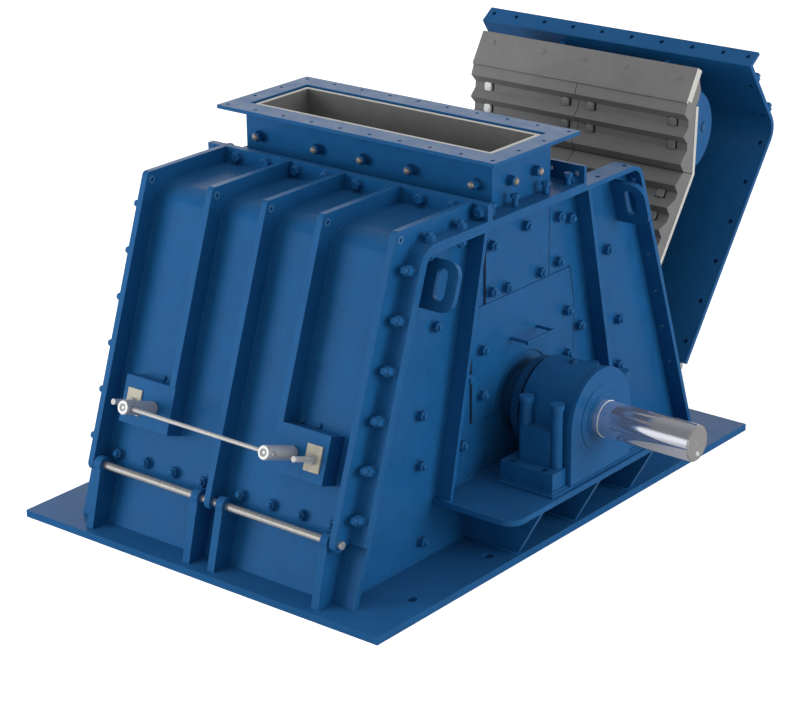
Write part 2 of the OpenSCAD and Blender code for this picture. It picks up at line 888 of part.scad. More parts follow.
// Jack tubes with a hexagon socket in the end, and the nuts on the tie rods
module jacks() {
    nut_t0 = box_reach + clamp_t;
    color(steel) difference() {
        both_sides() on_slope() {
            out_bar(jack_x, box_reach, jack_reach, jack_r - jack_chamfer);
            out_bar(jack_x, box_reach + jack_foot, jack_reach - jack_chamfer, jack_r);
            translate([clamp_x, -nut_t0, jack_s]) rotate([90, 0, 0])
                cylinder(h = nut_h, r = nut_r, $fn = 6);
        }
        both_sides() on_slope() {
            translate([jack_x, socket_depth - jack_reach, jack_s]) rotate([90, 0, 0])
                cylinder(h = socket_depth + 1, r = socket_r, $fn = 6);
            out_bar(jack_x, box_reach - 1, jack_reach - tube_end, screw_r + fit_gap);
            out_bar(clamp_x, nut_t0 - 1, nut_t0 + nut_h + 1, stud_r + fit_gap);
            for (side = [-1, 1])
                translate([jack_x + side * jack_r, -shaft_reach, jack_s])
                    bar_x(-cross_seat, cross_seat, 0, 0, cross_seat_r);
        }
        cross_bar(fit_gap);
    }
}

// The bar that turns both jacks, through their tubes
module cross_bar(clearance) {
    half = jack_x + jack_r - cross_sink + clearance;
    on_slope() translate([0, -shaft_reach, jack_s])
        bar_x(-half, half, 0, 0, cross_r + clearance);
}

module cross_shaft() {
    color(steel) cross_bar(0);
}

// Jack screws that push the apron and tie rods that hold it back
module screws() {
    tip = tip_gap - jack_to_apron();
    color(steel) both_sides() on_slope() {
        out_bar(jack_x, tip, jack_reach - tube_end - 8, screw_r);
        out_bar(clamp_x, tip, stud_reach, stud_r);
    }
}

// ---- Breaker aprons, drawn in the shut front door ----

// The normal of a direction down the apron, towards the rotor
function inward(v) = [-v[1], v[0]];

// A point at distance a along a panel from its start and d in from its back face
function panel_point(start, dir, a, d) = start + dir * a + inward(dir) * d;

function upper_point(a, d) = panel_point(apron_top, upper_dir, a, d);
function lower_point(a, d) = panel_point(apron_knee, lower_dir, a, d);

// The corner between the two panels at depth d
function knee_point(d) =
    let (n = inward(upper_dir), m = inward(lower_dir)) apron_knee + (n + m) * d / (1 + n * m);

// A point of the curtain plate, q down from its top inner corner and d out
function curtain_point(q, d) = panel_point(curtain_top, curtain_dir, q, -d);

// Distance from the end face in to the lower panel's back, along a jack's axis
function jack_to_apron() =
    let (n = inward(lower_dir), to_inside = [cos(lean), -sin(lean)])
    ((apron_knee - slope_point(jack_s, 0)) * n) / (to_inside * n);

// Distance down the lower panel at which a jack meets it
function jack_along() = (slope_point(jack_s, -jack_to_apron()) - apron_knee) * lower_dir;

// Bent carrier plate with round-backed webs that hang it on the pivot rod
module breaker_carrier() {
    color(blue) union() {
        along_x(-apron_half, apron_half) polygon([
            upper_point(-carrier_over, 0), upper_point(-carrier_over, carrier_t),
            knee_point(carrier_t), lower_point(lower_len, carrier_t),
            lower_point(lower_len, 0), apron_knee
        ]);
        both_sides() for (x = web_x) pivot_web(x);
    }
}

module pivot_web(x) {
    centre = upper_point(pivot_along, web_r - web_bulge);
    difference() {
        bar_x(x, x + web_t, centre[0], centre[1], web_r);
        along_x(x - 1, x + web_t + 1) polygon([
            upper_point(2 * web_r, web_sink), upper_point(-carrier_over, web_sink),
            upper_point(-carrier_over, 0), upper_point(tail_foot[0], 0),
            upper_point(tail_bend[0], tail_bend[1]), upper_point(-2 * web_r, tail_bend[1]),
            upper_point(-2 * web_r, 2 * web_r), upper_point(2 * web_r, 2 * web_r)
        ]);
        bar_x(x - 1, x + web_t + 1, pivot[0], pivot[1], pivot_r + fit_gap);
    }
}

// Wavy faces of the liners, from ridge to ridge
upper_face = [
    for (i = [0:1])
        for (p = [[0, upper_ridge], [groove_run[0], groove_t - 6], [groove_run[1], groove_t - 6]])
            upper_point(15 + i * groove_pitch + p[0], p[1])
];
lower_last = floor((lower_len - lower_start - 36) / lower_pitch);
lower_face = [
    for (i = [0:lower_last - 1])
        for (p = [[0, ridge_t], [groove_run[0] - 17, groove_t], [groove_run[1] - 13, groove_t]])
            lower_point(lower_start + i * lower_pitch + p[0], p[1])
];

module breaker_liners() {
    seam = liner_gap / 2;
    toe = lower_len - 8;
    back = carrier_t + seat_gap;
    color(liner_grey) both_sides() {
        along_x(seam, apron_half - 2) polygon(concat(
            [curtain_point(curtain_lap, curtain_t + seat_gap)],
            [curtain_point(curtain_len + seat_gap, curtain_t + seat_gap)],
            [curtain_point(curtain_len + seat_gap, 0)],
            upper_face,
            [upper_point(15 + 2 * groove_pitch, upper_ridge), upper_point(297, ridge_t)],
            [knee_point(split_t) - upper_dir * seam, knee_point(back) - upper_dir * seam],
            [upper_point(-carrier_over, back)],
            [upper_point(tail_foot[0], tail_foot[1]), upper_point(tail_bend[0], tail_bend[1])]
        ));
        along_x(seam, apron_half - 2) polygon(concat(
            [knee_point(back) + lower_dir * seam, knee_point(split_t) + lower_dir * seam],
            lower_face,
            [lower_point(lower_start + lower_last * lower_pitch, ridge_t)],
            [lower_point(toe, groove_t), lower_point(toe, back)]
        ));
    }
}

// Plain plate along the apron's top edge
module curtain() {
    color(liner_grey) along_x(-apron_half, apron_half) polygon([
        curtain_point(0, 0), curtain_point(0, curtain_t),
        curtain_point(curtain_len, curtain_t), curtain_point(curtain_len, 0)
    ]);
}

// Brackets under the door's top that hold the pivot rod
module hangers() {
    front = max(pivot[0] - hanger_half, bend_c[0] + 10);
    color(blue) for (x = [-hanger_x, hanger_x]) difference() {
        union() {
            along_x(x - hanger_t / 2, x + hanger_t / 2) polygon([
                [front, top_z + shut_gap], [pivot[0] + hanger_half, top_z + shut_gap],
                [pivot[0] + hanger_eye, pivot[1]], [pivot[0] - hanger_eye, pivot[1]]
            ]);
            bar_x(x - hanger_t / 2, x + hanger_t / 2, pivot[0], pivot[1], hanger_eye);
        }
        bar_x(x - hanger_t, x + hanger_t, pivot[0], pivot[1], pivot_r);
    }
}

module pivot_rod() {
    half = web_x[1] + web_t + 10;
    color(steel) bar_x(-half, half, pivot[0], pivot[1], pivot_r);
}

base_plate();
side_plates();
side_flanges();
side_stiffeners();
lifting_lugs();
access_panels();
panel_handles();
end_walls();
top_beams();
hinge_gussets();
hinge_pins();
bearing_shelves();
shelf_gussets();
bearing_soles();
bearings();
cap_bolts();
shaft_seals();
side_liners();
inlet_box();
inlet_flange();
inlet_liners();
rotor_shaft();
rotor_discs();
rotor_spacers();
hammer_pins();
hammers();
door_shell();  // front_door_shell
door_ribs();  // front_door_ribs
hangers();  // front_hangers
pivot_rod();  // front_pivot_rod
adjuster_boxes();  // front_adjuster_boxes
clamp_plates();  // front_clamp_plates
jacks();  // front_jacks
cross_shaft();  // front_cross_shaft
screws();  // front_screws
breaker_carrier();  // front_breaker_carrier
breaker_liners();  // front_breaker_liners
curtain();  // front_curtain
at_rear() door_shell();  // rear_door_shell
at_rear() door_ribs();  // rear_door_ribs
at_rear() hangers();  // rear_hangers
at_rear() pivot_rod();  // rear_pivot_rod
at_rear() adjuster_boxes();  // rear_adjuster_boxes
at_rear() clamp_plates();  // rear_clamp_plates
at_rear() jacks();  // rear_jacks
at_rear() cross_shaft();  // rear_cross_shaft
at_rear() screws();  // rear_screws
at_rear() breaker_carrier();  // rear_breaker_carrier
at_rear() breaker_liners();  // rear_breaker_liners
at_rear() curtain();  // rear_curtain
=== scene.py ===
"""Finishes and fittings for an impact coal crusher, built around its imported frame.

Every sub-assembly of the machine is a class: it paints the frame's own nodes, and models
the fasteners, weld beads and small fittings that sit on them. Lengths are metres.
"""

import logging
import math
import random
from dataclasses import dataclass
from enum import Enum
from functools import cached_property, lru_cache
from typing import Callable, Iterable, Optional, Sequence, Union

import bmesh
import bpy
from mathutils import Matrix, Vector


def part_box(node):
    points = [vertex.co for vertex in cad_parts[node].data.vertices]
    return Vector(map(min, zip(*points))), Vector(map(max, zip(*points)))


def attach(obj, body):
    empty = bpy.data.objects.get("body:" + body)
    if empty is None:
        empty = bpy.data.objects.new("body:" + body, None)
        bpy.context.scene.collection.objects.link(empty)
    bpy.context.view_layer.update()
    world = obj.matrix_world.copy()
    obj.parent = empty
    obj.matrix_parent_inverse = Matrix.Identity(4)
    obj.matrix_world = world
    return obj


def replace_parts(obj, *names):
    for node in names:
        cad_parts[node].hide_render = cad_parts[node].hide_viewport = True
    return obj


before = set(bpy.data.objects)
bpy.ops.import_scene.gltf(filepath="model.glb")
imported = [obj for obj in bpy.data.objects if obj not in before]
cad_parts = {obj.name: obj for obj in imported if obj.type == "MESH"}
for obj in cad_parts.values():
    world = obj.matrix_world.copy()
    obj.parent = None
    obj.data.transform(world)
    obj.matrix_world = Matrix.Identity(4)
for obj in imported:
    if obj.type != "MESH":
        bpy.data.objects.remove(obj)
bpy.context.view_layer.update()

logging.basicConfig(level=logging.INFO, format="%(message)s")
LOG = logging.getLogger("crusher")

Pair = tuple[float, float]
Triple = tuple[float, float, float]
Row = tuple[float, ...]
# A peg's radius, foot, top and easing, and a ring's outer radius, inner radius and thickness.
Peg = tuple[float, float, float, float]
Ring = Triple
Value = Union["Signal", float, tuple, Vector]
Rule = Callable[[Vector, Vector], bool]
Model = bpy.types.Object

SIDES = (-1, 1)
NEAR = 1e-5


# ---------------------------------------------------------------- shader arithmetic


def _operator(operation: str, swapped: bool = False) -> Callable[..., "Signal"]:
    """Makes an operator of signals.

    Args:
        operation: What its Math node does.
        swapped: Whether the signal comes second, as in 1 - signal.

    Returns:
        The operator.
    """

    def apply(signal: "Signal", *others: Value) -> "Signal":
        """Adds a Math node with the signal and the other value."""
        terms = (*others, signal) if swapped else (signal, *others)
        return signal.graph.node("Math", {"operation": operation}, dict(enumerate(terms)))

    return apply


class Signal:
    """One output of a shader graph, which adds Math nodes as it is calculated with."""

    def __init__(self, graph: "Graph", socket: bpy.types.NodeSocket) -> None:
        """Wraps an output of one of a graph's nodes."""
        self.graph = graph
        self.socket = socket

    __add__ = __radd__ = _operator("ADD")
    __sub__ = _operator("SUBTRACT")
    __rsub__ = _operator("SUBTRACT", swapped=True)
    __mul__ = __rmul__ = _operator("MULTIPLY")
    __gt__ = _operator("GREATER_THAN")
    __lt__ = _operator("LESS_THAN")
    __abs__ = _operator("ABSOLUTE")
    most = _operator("MAXIMUM")

    def ramp(self, low: float, high: float, start: float = 0.0, end: float = 1.0) -> "Signal":
        """Goes smoothly from start to end as the signal goes from low to high."""
        inputs = {0: self, 1: low, 2: high, 3: start, 4: end}
        return self.graph.node("MapRange", {"interpolation_type": "SMOOTHSTEP"}, inputs)


class Graph:
    """The node tree of a material or a world."""

    def __init__(self, tree: bpy.types.NodeTree) -> None:
        """Empties the tree, so that only what is added here is in it."""
        self.tree = tree
        tree.nodes.clear()

    def node(
        self, kind: str, settings: Optional[dict] = None, inputs: Optional[dict] = None,
        output: Union[int, str] = 0,
    ) -> Optional[Signal]:
        """Adds a node.

        Args:
            kind: The node's type, without its ShaderNode prefix.
            settings: Its properties, set first.
            inputs: Values or signals by socket name or number.
            output: The output to return.

        Returns:
            That output, if the node has any.
        """
        made = self.tree.nodes.new("ShaderNode" + kind)
        for name, value in (settings or {}).items():
            setattr(made, name, value)
        for name, value in (inputs or {}).items():
            if isinstance(value, Signal):
                self.tree.links.new(value.socket, made.inputs[name])
            else:
                made.inputs[name].default_value = value
        return Signal(self, made.outputs[output]) if made.outputs else None

    @cached_property
    def place(self) -> Signal:
        """The point on the piece, in the machine's own frame."""
        return self.node("TexCoord", output="Object")

    def facing(self) -> Signal:
        """The surface's direction in the machine's own frame."""
        return self.node("TexCoord", output="Normal")

    def along(self, vector: Signal, direction: Value) -> Signal:
        """How far a vector reaches in a direction of unit length."""
        settings = {"operation": "DOT_PRODUCT"}
        return self.node("VectorMath", settings, {0: vector, 1: direction}, "Value")

    def noise(
        self, scale: float, detail: float = 3.0, rough: float = 0.5, stretch: Triple = (1, 1, 1)
    ) -> Signal:
        """Cloudy noise from 0 to 1.

        Args:
            scale: Clouds in a metre.
            detail: How many finer layers it has.
            rough: How strong the finer layers are.
            stretch: Clouds in a metre along each axis, over the scale.

        Returns:
            The noise.
        """
        place = self.place
        if stretch != (1, 1, 1):
            place = self.node("Mapping", inputs={"Vector": place, "Scale": stretch})
        inputs = {"Vector": place, "Scale": scale, "Detail": detail, "Roughness": rough}
        return self.node("TexNoise", inputs=inputs)

    def _mix(self, blend: str, factor: Value, low: Value, high: Value) -> Signal:
        """Mixes two colours.

        Args:
            blend: How they are blended.
            factor: 0 for low alone and 1 for the full blend.
            low: The first, a signal or a plain colour.
            high: The second.

        Returns:
            The mixed colour.
        """
        low, high = (c if isinstance(c, Signal) else (*c, 1.0) for c in (low, high))
        settings = {"data_type": "RGBA", "blend_type": blend}
        return self.node("Mix", settings, {0: factor, 6: low, 7: high}, 2)

    def tint(self, factor: Value, low: Value, high: Value) -> Signal:
        """A colour between two, by a factor from 0 for low to 1 for high."""
        return self._mix("MIX", factor, low, high)

    def shade(self, colour: Value, level: Signal) -> Signal:
        """A colour made lighter or darker by a level around 1."""
        even = self.node("CombineColor", inputs={0: level, 1: level, 2: level})
        return self._mix("MULTIPLY", 1.0, colour, even)

    def rounded(self, radius: float) -> Signal:
        """The surface's direction with its edges eased over a radius."""
        return self.node("Bevel", {"samples": 4}, {"Radius": radius})

    def edges(self, eased: Signal) -> Signal:
        """1 on the eased edges of the metal and 0 on its faces."""
        return 1.0 - self.along(eased, self.node("NewGeometry", output="True Normal"))

    def bumps(self, normal: Signal, *layers: tuple[Signal, float, float]) -> Signal:
        """Adds small heights to a direction.

        Args:
            normal: The direction.
            *layers: Heights from 0 to 1, what a height of 1 is in metres, and their strength.

        Returns:
            The new direction.
        """
        for layer in layers:
            inputs = dict(zip(("Height", "Distance", "Strength"), layer))
            normal = self.node("Bump", inputs={**inputs, "Normal": normal})
        return normal

    def surface(self, colour: Value, rough: Value, normal: Signal, **others: Value) -> None:
        """Ends the graph with a Principled shader.

        Args:
            colour: The base colour.
            rough: The roughness.
            normal: The direction.
            **others: More of the shader's sockets, with _ for a space in their names.
        """
        inputs = {"Base Color": colour, "Roughness": rough, "Normal": normal}
        inputs.update({name.replace("_", " "): value for name, value in others.items()})
        shader = self.node("BsdfPrincipled", inputs=inputs)
        self.node("OutputMaterial", inputs={"Surface": shader})


def grey(level: float) -> Triple:
    """A neutral colour of one level."""
    return (level, level, level)


# ---------------------------------------------------------------- finishes


class Finish:
    """A finish, whose kinds each name their colours and add nodes of their own."""

    name: str

    @lru_cache
    def material(self) -> bpy.types.Material:
        """Builds the finish once.

        Returns:
            The material.
        """
        made = bpy.data.materials.new(self.name)
        made.use_nodes = True
        self.paint(Graph(made.node_tree))
        return made

    def paint(self, graph: Graph) -> None:
        """Adds the finish's nodes to an empty graph."""
        raise NotImplementedError


@dataclass(frozen=True)
class Enamel(Finish):
    """Satin enamel brushed and sprayed over welded plate."""

    name: str = "blue_enamel"
    ripple: float = 0.0
    base: Triple = (0.0100, 0.091, 0.250)
    faded: Triple = (0.0120, 0.105, 0.280)
    # Lighter blue for the edges: worn paint, and a painted highlight along them.
    edge: Triple = (0.045, 0.175, 0.400)
    # Pale lavender of settled dust, which also paints the sheen that upward faces catch from
    # above.
    dust_and_sheen: Triple = (0.060, 0.130, 0.265)
    rough: float = 0.31
    shine: float = 0.14
    eased: float = 0.0035

    def paint(self, graph: Graph) -> None:
        """Paints drifts, brush marks, dust with painted sheen on top, worn edges with painted
        highlight, and orange peel.

        Args:
            graph: The empty graph.
        """
        upward = graph.along(graph.facing(), (0, 0, 1))
        clouds = graph.noise(1.1, 4.0, 0.55)
        patches = graph.noise(7.0, 5.0, 0.62)
        peel = graph.noise(240.0, 1.0)
        brush = graph.noise(1.0, 2.0, 0.5, stretch=(34.0, 34.0, 3.5))
        specks = graph.noise(60.0, 6.0, 0.75)
        colour = graph.tint(clouds.ramp(0.34, 0.72) * 0.42, self.base, self.faded)
        colour = graph.shade(colour, patches.ramp(0.3, 0.75, 0.93, 1.06))
        colour = graph.shade(colour, brush.ramp(0.3, 0.7, 0.975, 1.02))
        # Upward faces are tinted pale: partly settled dust, partly a painted sheen of the light
        # from above.
        settled_dust_and_sheen = upward.ramp(0.55, 0.98) * (clouds * 0.16 + specks.ramp(0.42, 0.7) * 0.10)
        colour = graph.tint(settled_dust_and_sheen, colour, self.dust_and_sheen)
        eased = graph.rounded(self.eased)
        # Edges are lightened towards the edge colour, partly as wear and partly as a painted
        # highlight.
        rim = graph.edges(eased).ramp(0.02, 0.28) * patches.ramp(0.25, 0.6, 0.35, 0.75)
        colour = graph.tint(rim, colour, self.edge)
        gloss = patches.ramp(0.3, 0.7, self.rough - 0.045, self.rough + 0.05) + settled_dust_and_sheen * 0.25
        layers = [(clouds, 0.010, 0.10), (brush, 0.0006, 0.06), (peel, 0.00035, 0.02)]
        if self.ripple:
            layers.append((graph.noise(130.0, 2.0), 0.003, self.ripple))
        normal = graph.bumps(eased, *layers)
        graph.surface(colour, gloss, normal, Specular_IOR_Level=self.shine)


@dataclass(frozen=True)
class WearSteel(Finish):
    """Rolled and cast wear steel, with cut edges that have stayed pale.

    A web is one panel of a bent plate: its front's y and z, and how far its back is that way.
    """

    name: str = "wear_steel"
    base: Triple = (0.190, 0.190, 0.191)
    light: Triple = (0.225, 0.225, 0.223)
    cut: Triple = (0.66, 0.645, 0.60)
    rust: Triple = (0.120, 0.085, 0.065)
    bare: float = 0.15
    cut_axis: Optional[Triple] = None
    cut_from: float = 0.0
    webs: tuple[Triple, ...] = ()

    def paint(self, graph: Graph) -> None:
        """Paints mill scale, pale cut ends, and enamel behind a carrier's webs.

        Args:
            graph: The empty graph.
        """
        clouds = graph.noise(2.3, 5.0, 0.6)
        scale = graph.noise(24.0, 6.0, 0.68)
        grain = graph.noise(210.0, 3.0, 0.6)
        drag = graph.noise(1.0, 4.0, 0.6, stretch=(90.0, 9.0, 9.0))
        colour = graph.tint(clouds.ramp(0.3, 0.75), self.base, self.light)
        colour = graph.shade(colour, scale.ramp(0.3, 0.72, 0.94, 1.05))
        colour = graph.shade(colour, drag.ramp(0.35, 0.7, 0.985, 1.02))
        colour = graph.tint((scale * clouds).ramp(0.33, 0.5) * 0.12, colour, self.rust)
        eased = graph.rounded(0.003)
        rim = graph.edges(eased).ramp(0.03, 0.3) * 0.35
        colour = graph.tint(rim, colour, self.light)
        metal: Value = self.bare
        rough = scale.ramp(0.3, 0.7, 0.50, 0.62)
        if self.cut_axis:
            ends = abs(graph.along(graph.facing(), self.cut_axis)) > 0.9
            if self.cut_from:
                reach = abs(graph.along(graph.place, self.cut_axis))
                ends = ends * (reach > self.cut_from)
            colour = graph.tint(ends * grain.ramp(0.2, 0.8, 0.82, 1.0), colour, self.cut)
        if self.webs:
            behind = [graph.along(graph.place, (0.0, y, z)) < reach for y, z, reach in self.webs]
            hidden = behind[0].most(behind[1])
            colour = graph.tint(hidden, colour, Enamel.base)
            metal = hidden.ramp(0.0, 1.0, self.bare, 0.0)
        normal = graph.bumps(eased, (scale, 0.0016, 0.22), (grain, 0.0005, 0.30))
        graph.surface(colour, rough, normal, Metallic=metal)


@dataclass(frozen=True)
class TurnedMetal(Finish):
    """Bar that came off a lathe, with fine rings and handling marks."""

    name: str
    base: Triple
    dark: Triple
    rough: float
    rings: float = 900.0
    ring_axis: Triple = (1.0, 0.0, 0.0)
    marks: float = 0.5
    face: Optional[Triple] = None
    face_metal: float = 0.6
    metal: float = 1.0

    def paint(self, graph: Graph) -> None:
        """Paints the rings, the marks and the turned end faces.

        Args:
            graph: The empty graph.
        """
        clouds = graph.noise(9.0, 4.0, 0.6)
        across = tuple(self.rings if a else 14.0 for a in self.ring_axis)
        rings = graph.noise(1.0, 2.0, 0.5, stretch=across)
        marks = graph.noise(1.0, 5.0, 0.7, stretch=(40.0, 160.0, 160.0))
        worn = (clouds.ramp(0.42, 0.8) * 0.55 + marks.ramp(0.5, 0.75) * 0.25) * self.marks
        colour = graph.tint(worn, self.base, self.dark)
        rough = rings.ramp(0.2, 0.8, self.rough * 0.8, self.rough * 1.25) + worn * 0.12
        metal: Value = self.metal
        if self.face:
            ends = abs(graph.along(graph.facing(), self.ring_axis)) > 0.95
            colour = graph.tint(ends, colour, self.face)
            rough = rough.most(ends * 0.42)
            metal = ends.ramp(0.0, 1.0, self.metal, self.face_metal)
        layers = (rings, 0.00008, 0.10), (marks, 0.00012, 0.12 * self.marks)
        normal = graph.bumps(graph.rounded(0.0015), *layers)
        graph.surface(colour, rough, normal, Metallic=metal)


@dataclass(frozen=True)
class CastIron(Finish):
    """Sand-cast iron or forged steel: dark, grained and rubbed bright on its corners."""

    name: str
    base: Triple
    bright: Triple
    metal: float = 0.7
    rough: float = 0.5
    grain: float = 150.0

    def paint(self, graph: Graph) -> None:
        """Paints the sand grain, the pits and the rubbed corners.

        Args:
            graph: The empty graph.
        """
        clouds = graph.noise(5.0, 5.0, 0.62)
        grain = graph.noise(self.grain, 3.0, 0.65)
        pits = graph.noise(45.0, 5.0, 0.7)
        colour = graph.shade(self.base, clouds.ramp(0.3, 0.7, 0.78, 1.15))
        eased = graph.rounded(0.003)
        rubbed = graph.edges(eased).ramp(0.03, 0.3) * pits.ramp(0.3, 0.6, 0.3, 0.9)
        colour = graph.tint(rubbed, colour, self.bright)
        rough = grain.ramp(0.3, 0.7, self.rough - 0.08, self.rough + 0.10)
        normal = graph.bumps(eased, (pits, 0.0012, 0.25), (grain, 0.0006, 0.35))
        graph.surface(colour, rough, normal, Metallic=self.metal)


@dataclass(frozen=True)
class PalePrimer(Finish):
    """Cream zinc primer on a clamp plate, thin over its corners."""

    name: str = "cream_primer"
    base: Triple = (0.48, 0.455, 0.375)
    dirt: Triple = (0.27, 0.235, 0.18)

    def paint(self, graph: Graph) -> None:
        """Paints the primer with soil in its clouds and along its corners.

        Args:
            graph: The empty graph.
        """
        clouds = graph.noise(16.0, 5.0, 0.65)
        grain = graph.noise(300.0, 2.0)
        eased = graph.rounded(0.002)
        rim = graph.edges(eased).ramp(0.03, 0.3) * 0.4
        soil = clouds.ramp(0.45, 0.75) * 0.45
        colour = graph.tint(soil.most(rim), self.base, self.dirt)
        rough = clouds.ramp(0.3, 0.7, 0.48, 0.62)
        normal = graph.bumps(eased, (grain, 0.0003, 0.25))
        graph.surface(colour, rough, normal)


PAINT = Enamel()
LINER = WearSteel()
NAVY = Enamel("navy_enamel", base=(0.009, 0.056, 0.150), faded=(0.011, 0.066, 0.176))
BEAD = Enamel("painted_bead", ripple=0.3, edge=Enamel.faded, rough=0.62, shine=0.05)
ROD = TurnedMetal("drawn_rod", (0.66, 0.65, 0.63), (0.42, 0.40, 0.38), 0.24, metal=0.8)
SHANK = TurnedMetal("cross_rod", (0.72, 0.71, 0.70), (0.50, 0.48, 0.46), 0.28, metal=0.6)
TUBE = TurnedMetal("turned_tube", (0.43, 0.44, 0.48), (0.31, 0.31, 0.33), 0.36, metal=0.35)
PRESSED = TurnedMetal("pressed_ring", (0.040, 0.150, 0.330), (0.025, 0.120, 0.280), 0.50,
                      rings=200.0, metal=0.0)
CHROME = TurnedMetal("hard_chrome", (0.80, 0.81, 0.89), (0.64, 0.65, 0.72), 0.055, marks=0.12,
                     face=(0.34, 0.33, 0.33), metal=0.86)
PIVOT = TurnedMetal("pivot_rod", (0.45, 0.43, 0.41), (0.30, 0.27, 0.25), 0.34,
                    face=PAINT.base, face_metal=0.0)
TIP_STEEL = TurnedMetal("tip_steel", (0.36, 0.32, 0.28), (0.25, 0.21, 0.18), 0.38,
                        rings=200.0, metal=0.5)
# Near-white steel: for bright heads, and for pieces that paint the highlights of the jack ends,
# the shaft's groove and its end face.
BRIGHT = TurnedMetal("bright_head", (0.86, 0.86, 0.86), (0.62, 0.61, 0.60), 0.30,
                     rings=200.0, metal=0.35)
STUD_STEEL = TurnedMetal("stud_steel", (0.62, 0.61, 0.60), (0.42, 0.40, 0.38), 0.32, metal=0.5)
WORN = TurnedMetal("worn_head", grey(0.25), grey(0.17), 0.42, rings=200.0, metal=0.4)
FORGED = CastIron("forged_hammer", (0.105, 0.100, 0.098), (0.36, 0.35, 0.33))
ROTOR = CastIron("rotor_iron", (0.075, 0.074, 0.076), grey(0.26), rough=0.55)
RUBBER = CastIron("rubber", (0.004, 0.014, 0.036), (0.008, 0.024, 0.060), metal=0.0, rough=0.7)
# Near-black iron of the plates that paint the shadow under the plough bolts.
SHADOW_POCKET = CastIron("shadow_pocket_iron", grey(0.020), grey(0.07), metal=0.3, rough=0.6)
CREAM = PalePrimer()


def dress(finish: Finish, *names: str) -> None:
    """Gives frame nodes a finish.

    Args:
        finish: What they are finished in.
        *names: The nodes.
    """
    for name in names:
        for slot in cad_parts[name].material_slots:
            slot.material = finish.material()


# ---------------------------------------------------------------- places on the machine


def seat(point: Sequence[float], out: Sequence[float]) -> Matrix:
    """A seat at a point, with its z turned to a direction."""
    turn = Vector(out).to_track_quat("Z", "Y").to_matrix().to_4x4()
    return Matrix.Translation(Vector(point)) @ turn


def both_sides(points: Iterable[Triple], out: Triple) -> list[Matrix]:
    """Seats on the left side and then the right, from the right side's points and direction."""
    return [seat((side * x, y, z), (side * out[0], *out[1:])) for side in SIDES
            for x, y, z in points]


def between(start: Sequence[float], end: Sequence[float]) -> Matrix:
    """Stretches a model one metre tall from one point to another."""
    run = Vector(end) - Vector(start)
    return seat(start, run) @ Matrix.Diagonal((1.0, 1.0, run.length, 1.0))


@dataclass(frozen=True)
class EndFace:
    """The leaning front face as a frame: x across it, s up its slope and t out of it."""

    lean: float = math.radians(19.2)
    foot: Pair = (-1.5, 0.04)

    def _axes(self) -> Matrix:
        """The face's own axes, as columns."""
        sin, cos = math.sin(self.lean), math.cos(self.lean)
        return Matrix(((1, 0, 0), (0, sin, -cos), (0, cos, sin))).to_4x4()

    def seat(self, x: float, s: float, t: float) -> Matrix:
        """A seat on the face, with its z out of it."""
        foot = Matrix.Translation((x, *self.foot))
        return foot @ self._axes() @ Matrix.Translation((0, s, t))

    def seats(self, xs: Sequence[float], ss: Sequence[float], t: float) -> list[Matrix]:
        """Seats on both halves of the face, at each x and each s."""
        return [self.seat(side * x, s, t) for side in SIDES for x in xs for s in ss]


@dataclass(frozen=True)
class Swing:
    """Where a door's fittings are at rest, from their place on the shut front door."""

    opened: float = 0.0
    rear: bool = False
    pin: Pair = (1.49, 0.36)

    def move(self) -> Matrix:
        """The move that takes the shut front door to this door at rest.

        Returns:
            The move.
        """
        if not self.rear:
            return Matrix.Identity(4)
        pin = Matrix.Translation((0, *self.pin))
        swung = pin @ Matrix.Rotation(-self.opened, 4, "X") @ pin.inverted()
        return swung @ Matrix.Rotation(math.pi, 4, "Z")

    def carry(self, places: Iterable[Matrix]) -> list[Matrix]:
        """Moves places on the shut front door to this door at rest."""
        return [self.move() @ place for place in places]


FACE = EndFace()
SHUT = Swing()
OPEN = Swing(opened=math.radians(55.5), rear=True)


@dataclass(frozen=True)
class ClosingLines:
    """Where the bolts that close the front door are, on either face of their flanges."""

    flange_x: float = 0.882
    slope_s: Row = tuple(0.435 + 0.24607 * i for i in range(6))
    crown_y: Row = (-0.8304, -0.585)
    beam_x: Row = (0.103, 0.309, 0.515, 0.721, 0.885)
    beam_z: float = 1.778

    def slope(self, t: float) -> list[Matrix]:
        """Seats down both slopes, which face outwards."""
        return FACE.seats((self.flange_x,), self.slope_s, t)

    def crown(self, rise: float, up: float) -> list[Matrix]:
        """Seats on top of both flanges, which face up or down."""
        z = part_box("side_plates")[1].z + rise
        return both_sides([(self.flange_x, y, z) for y in self.crown_y], (0, 0, up))

    def beam(self, y: float, out: float) -> list[Matrix]:
        """Seats along the beam at one of its faces, which face forwards or back."""
        return both_sides([(x, y, self.beam_z) for x in self.beam_x], (0, out, 0))


CLOSING = ClosingLines()


# ---------------------------------------------------------------- modelling


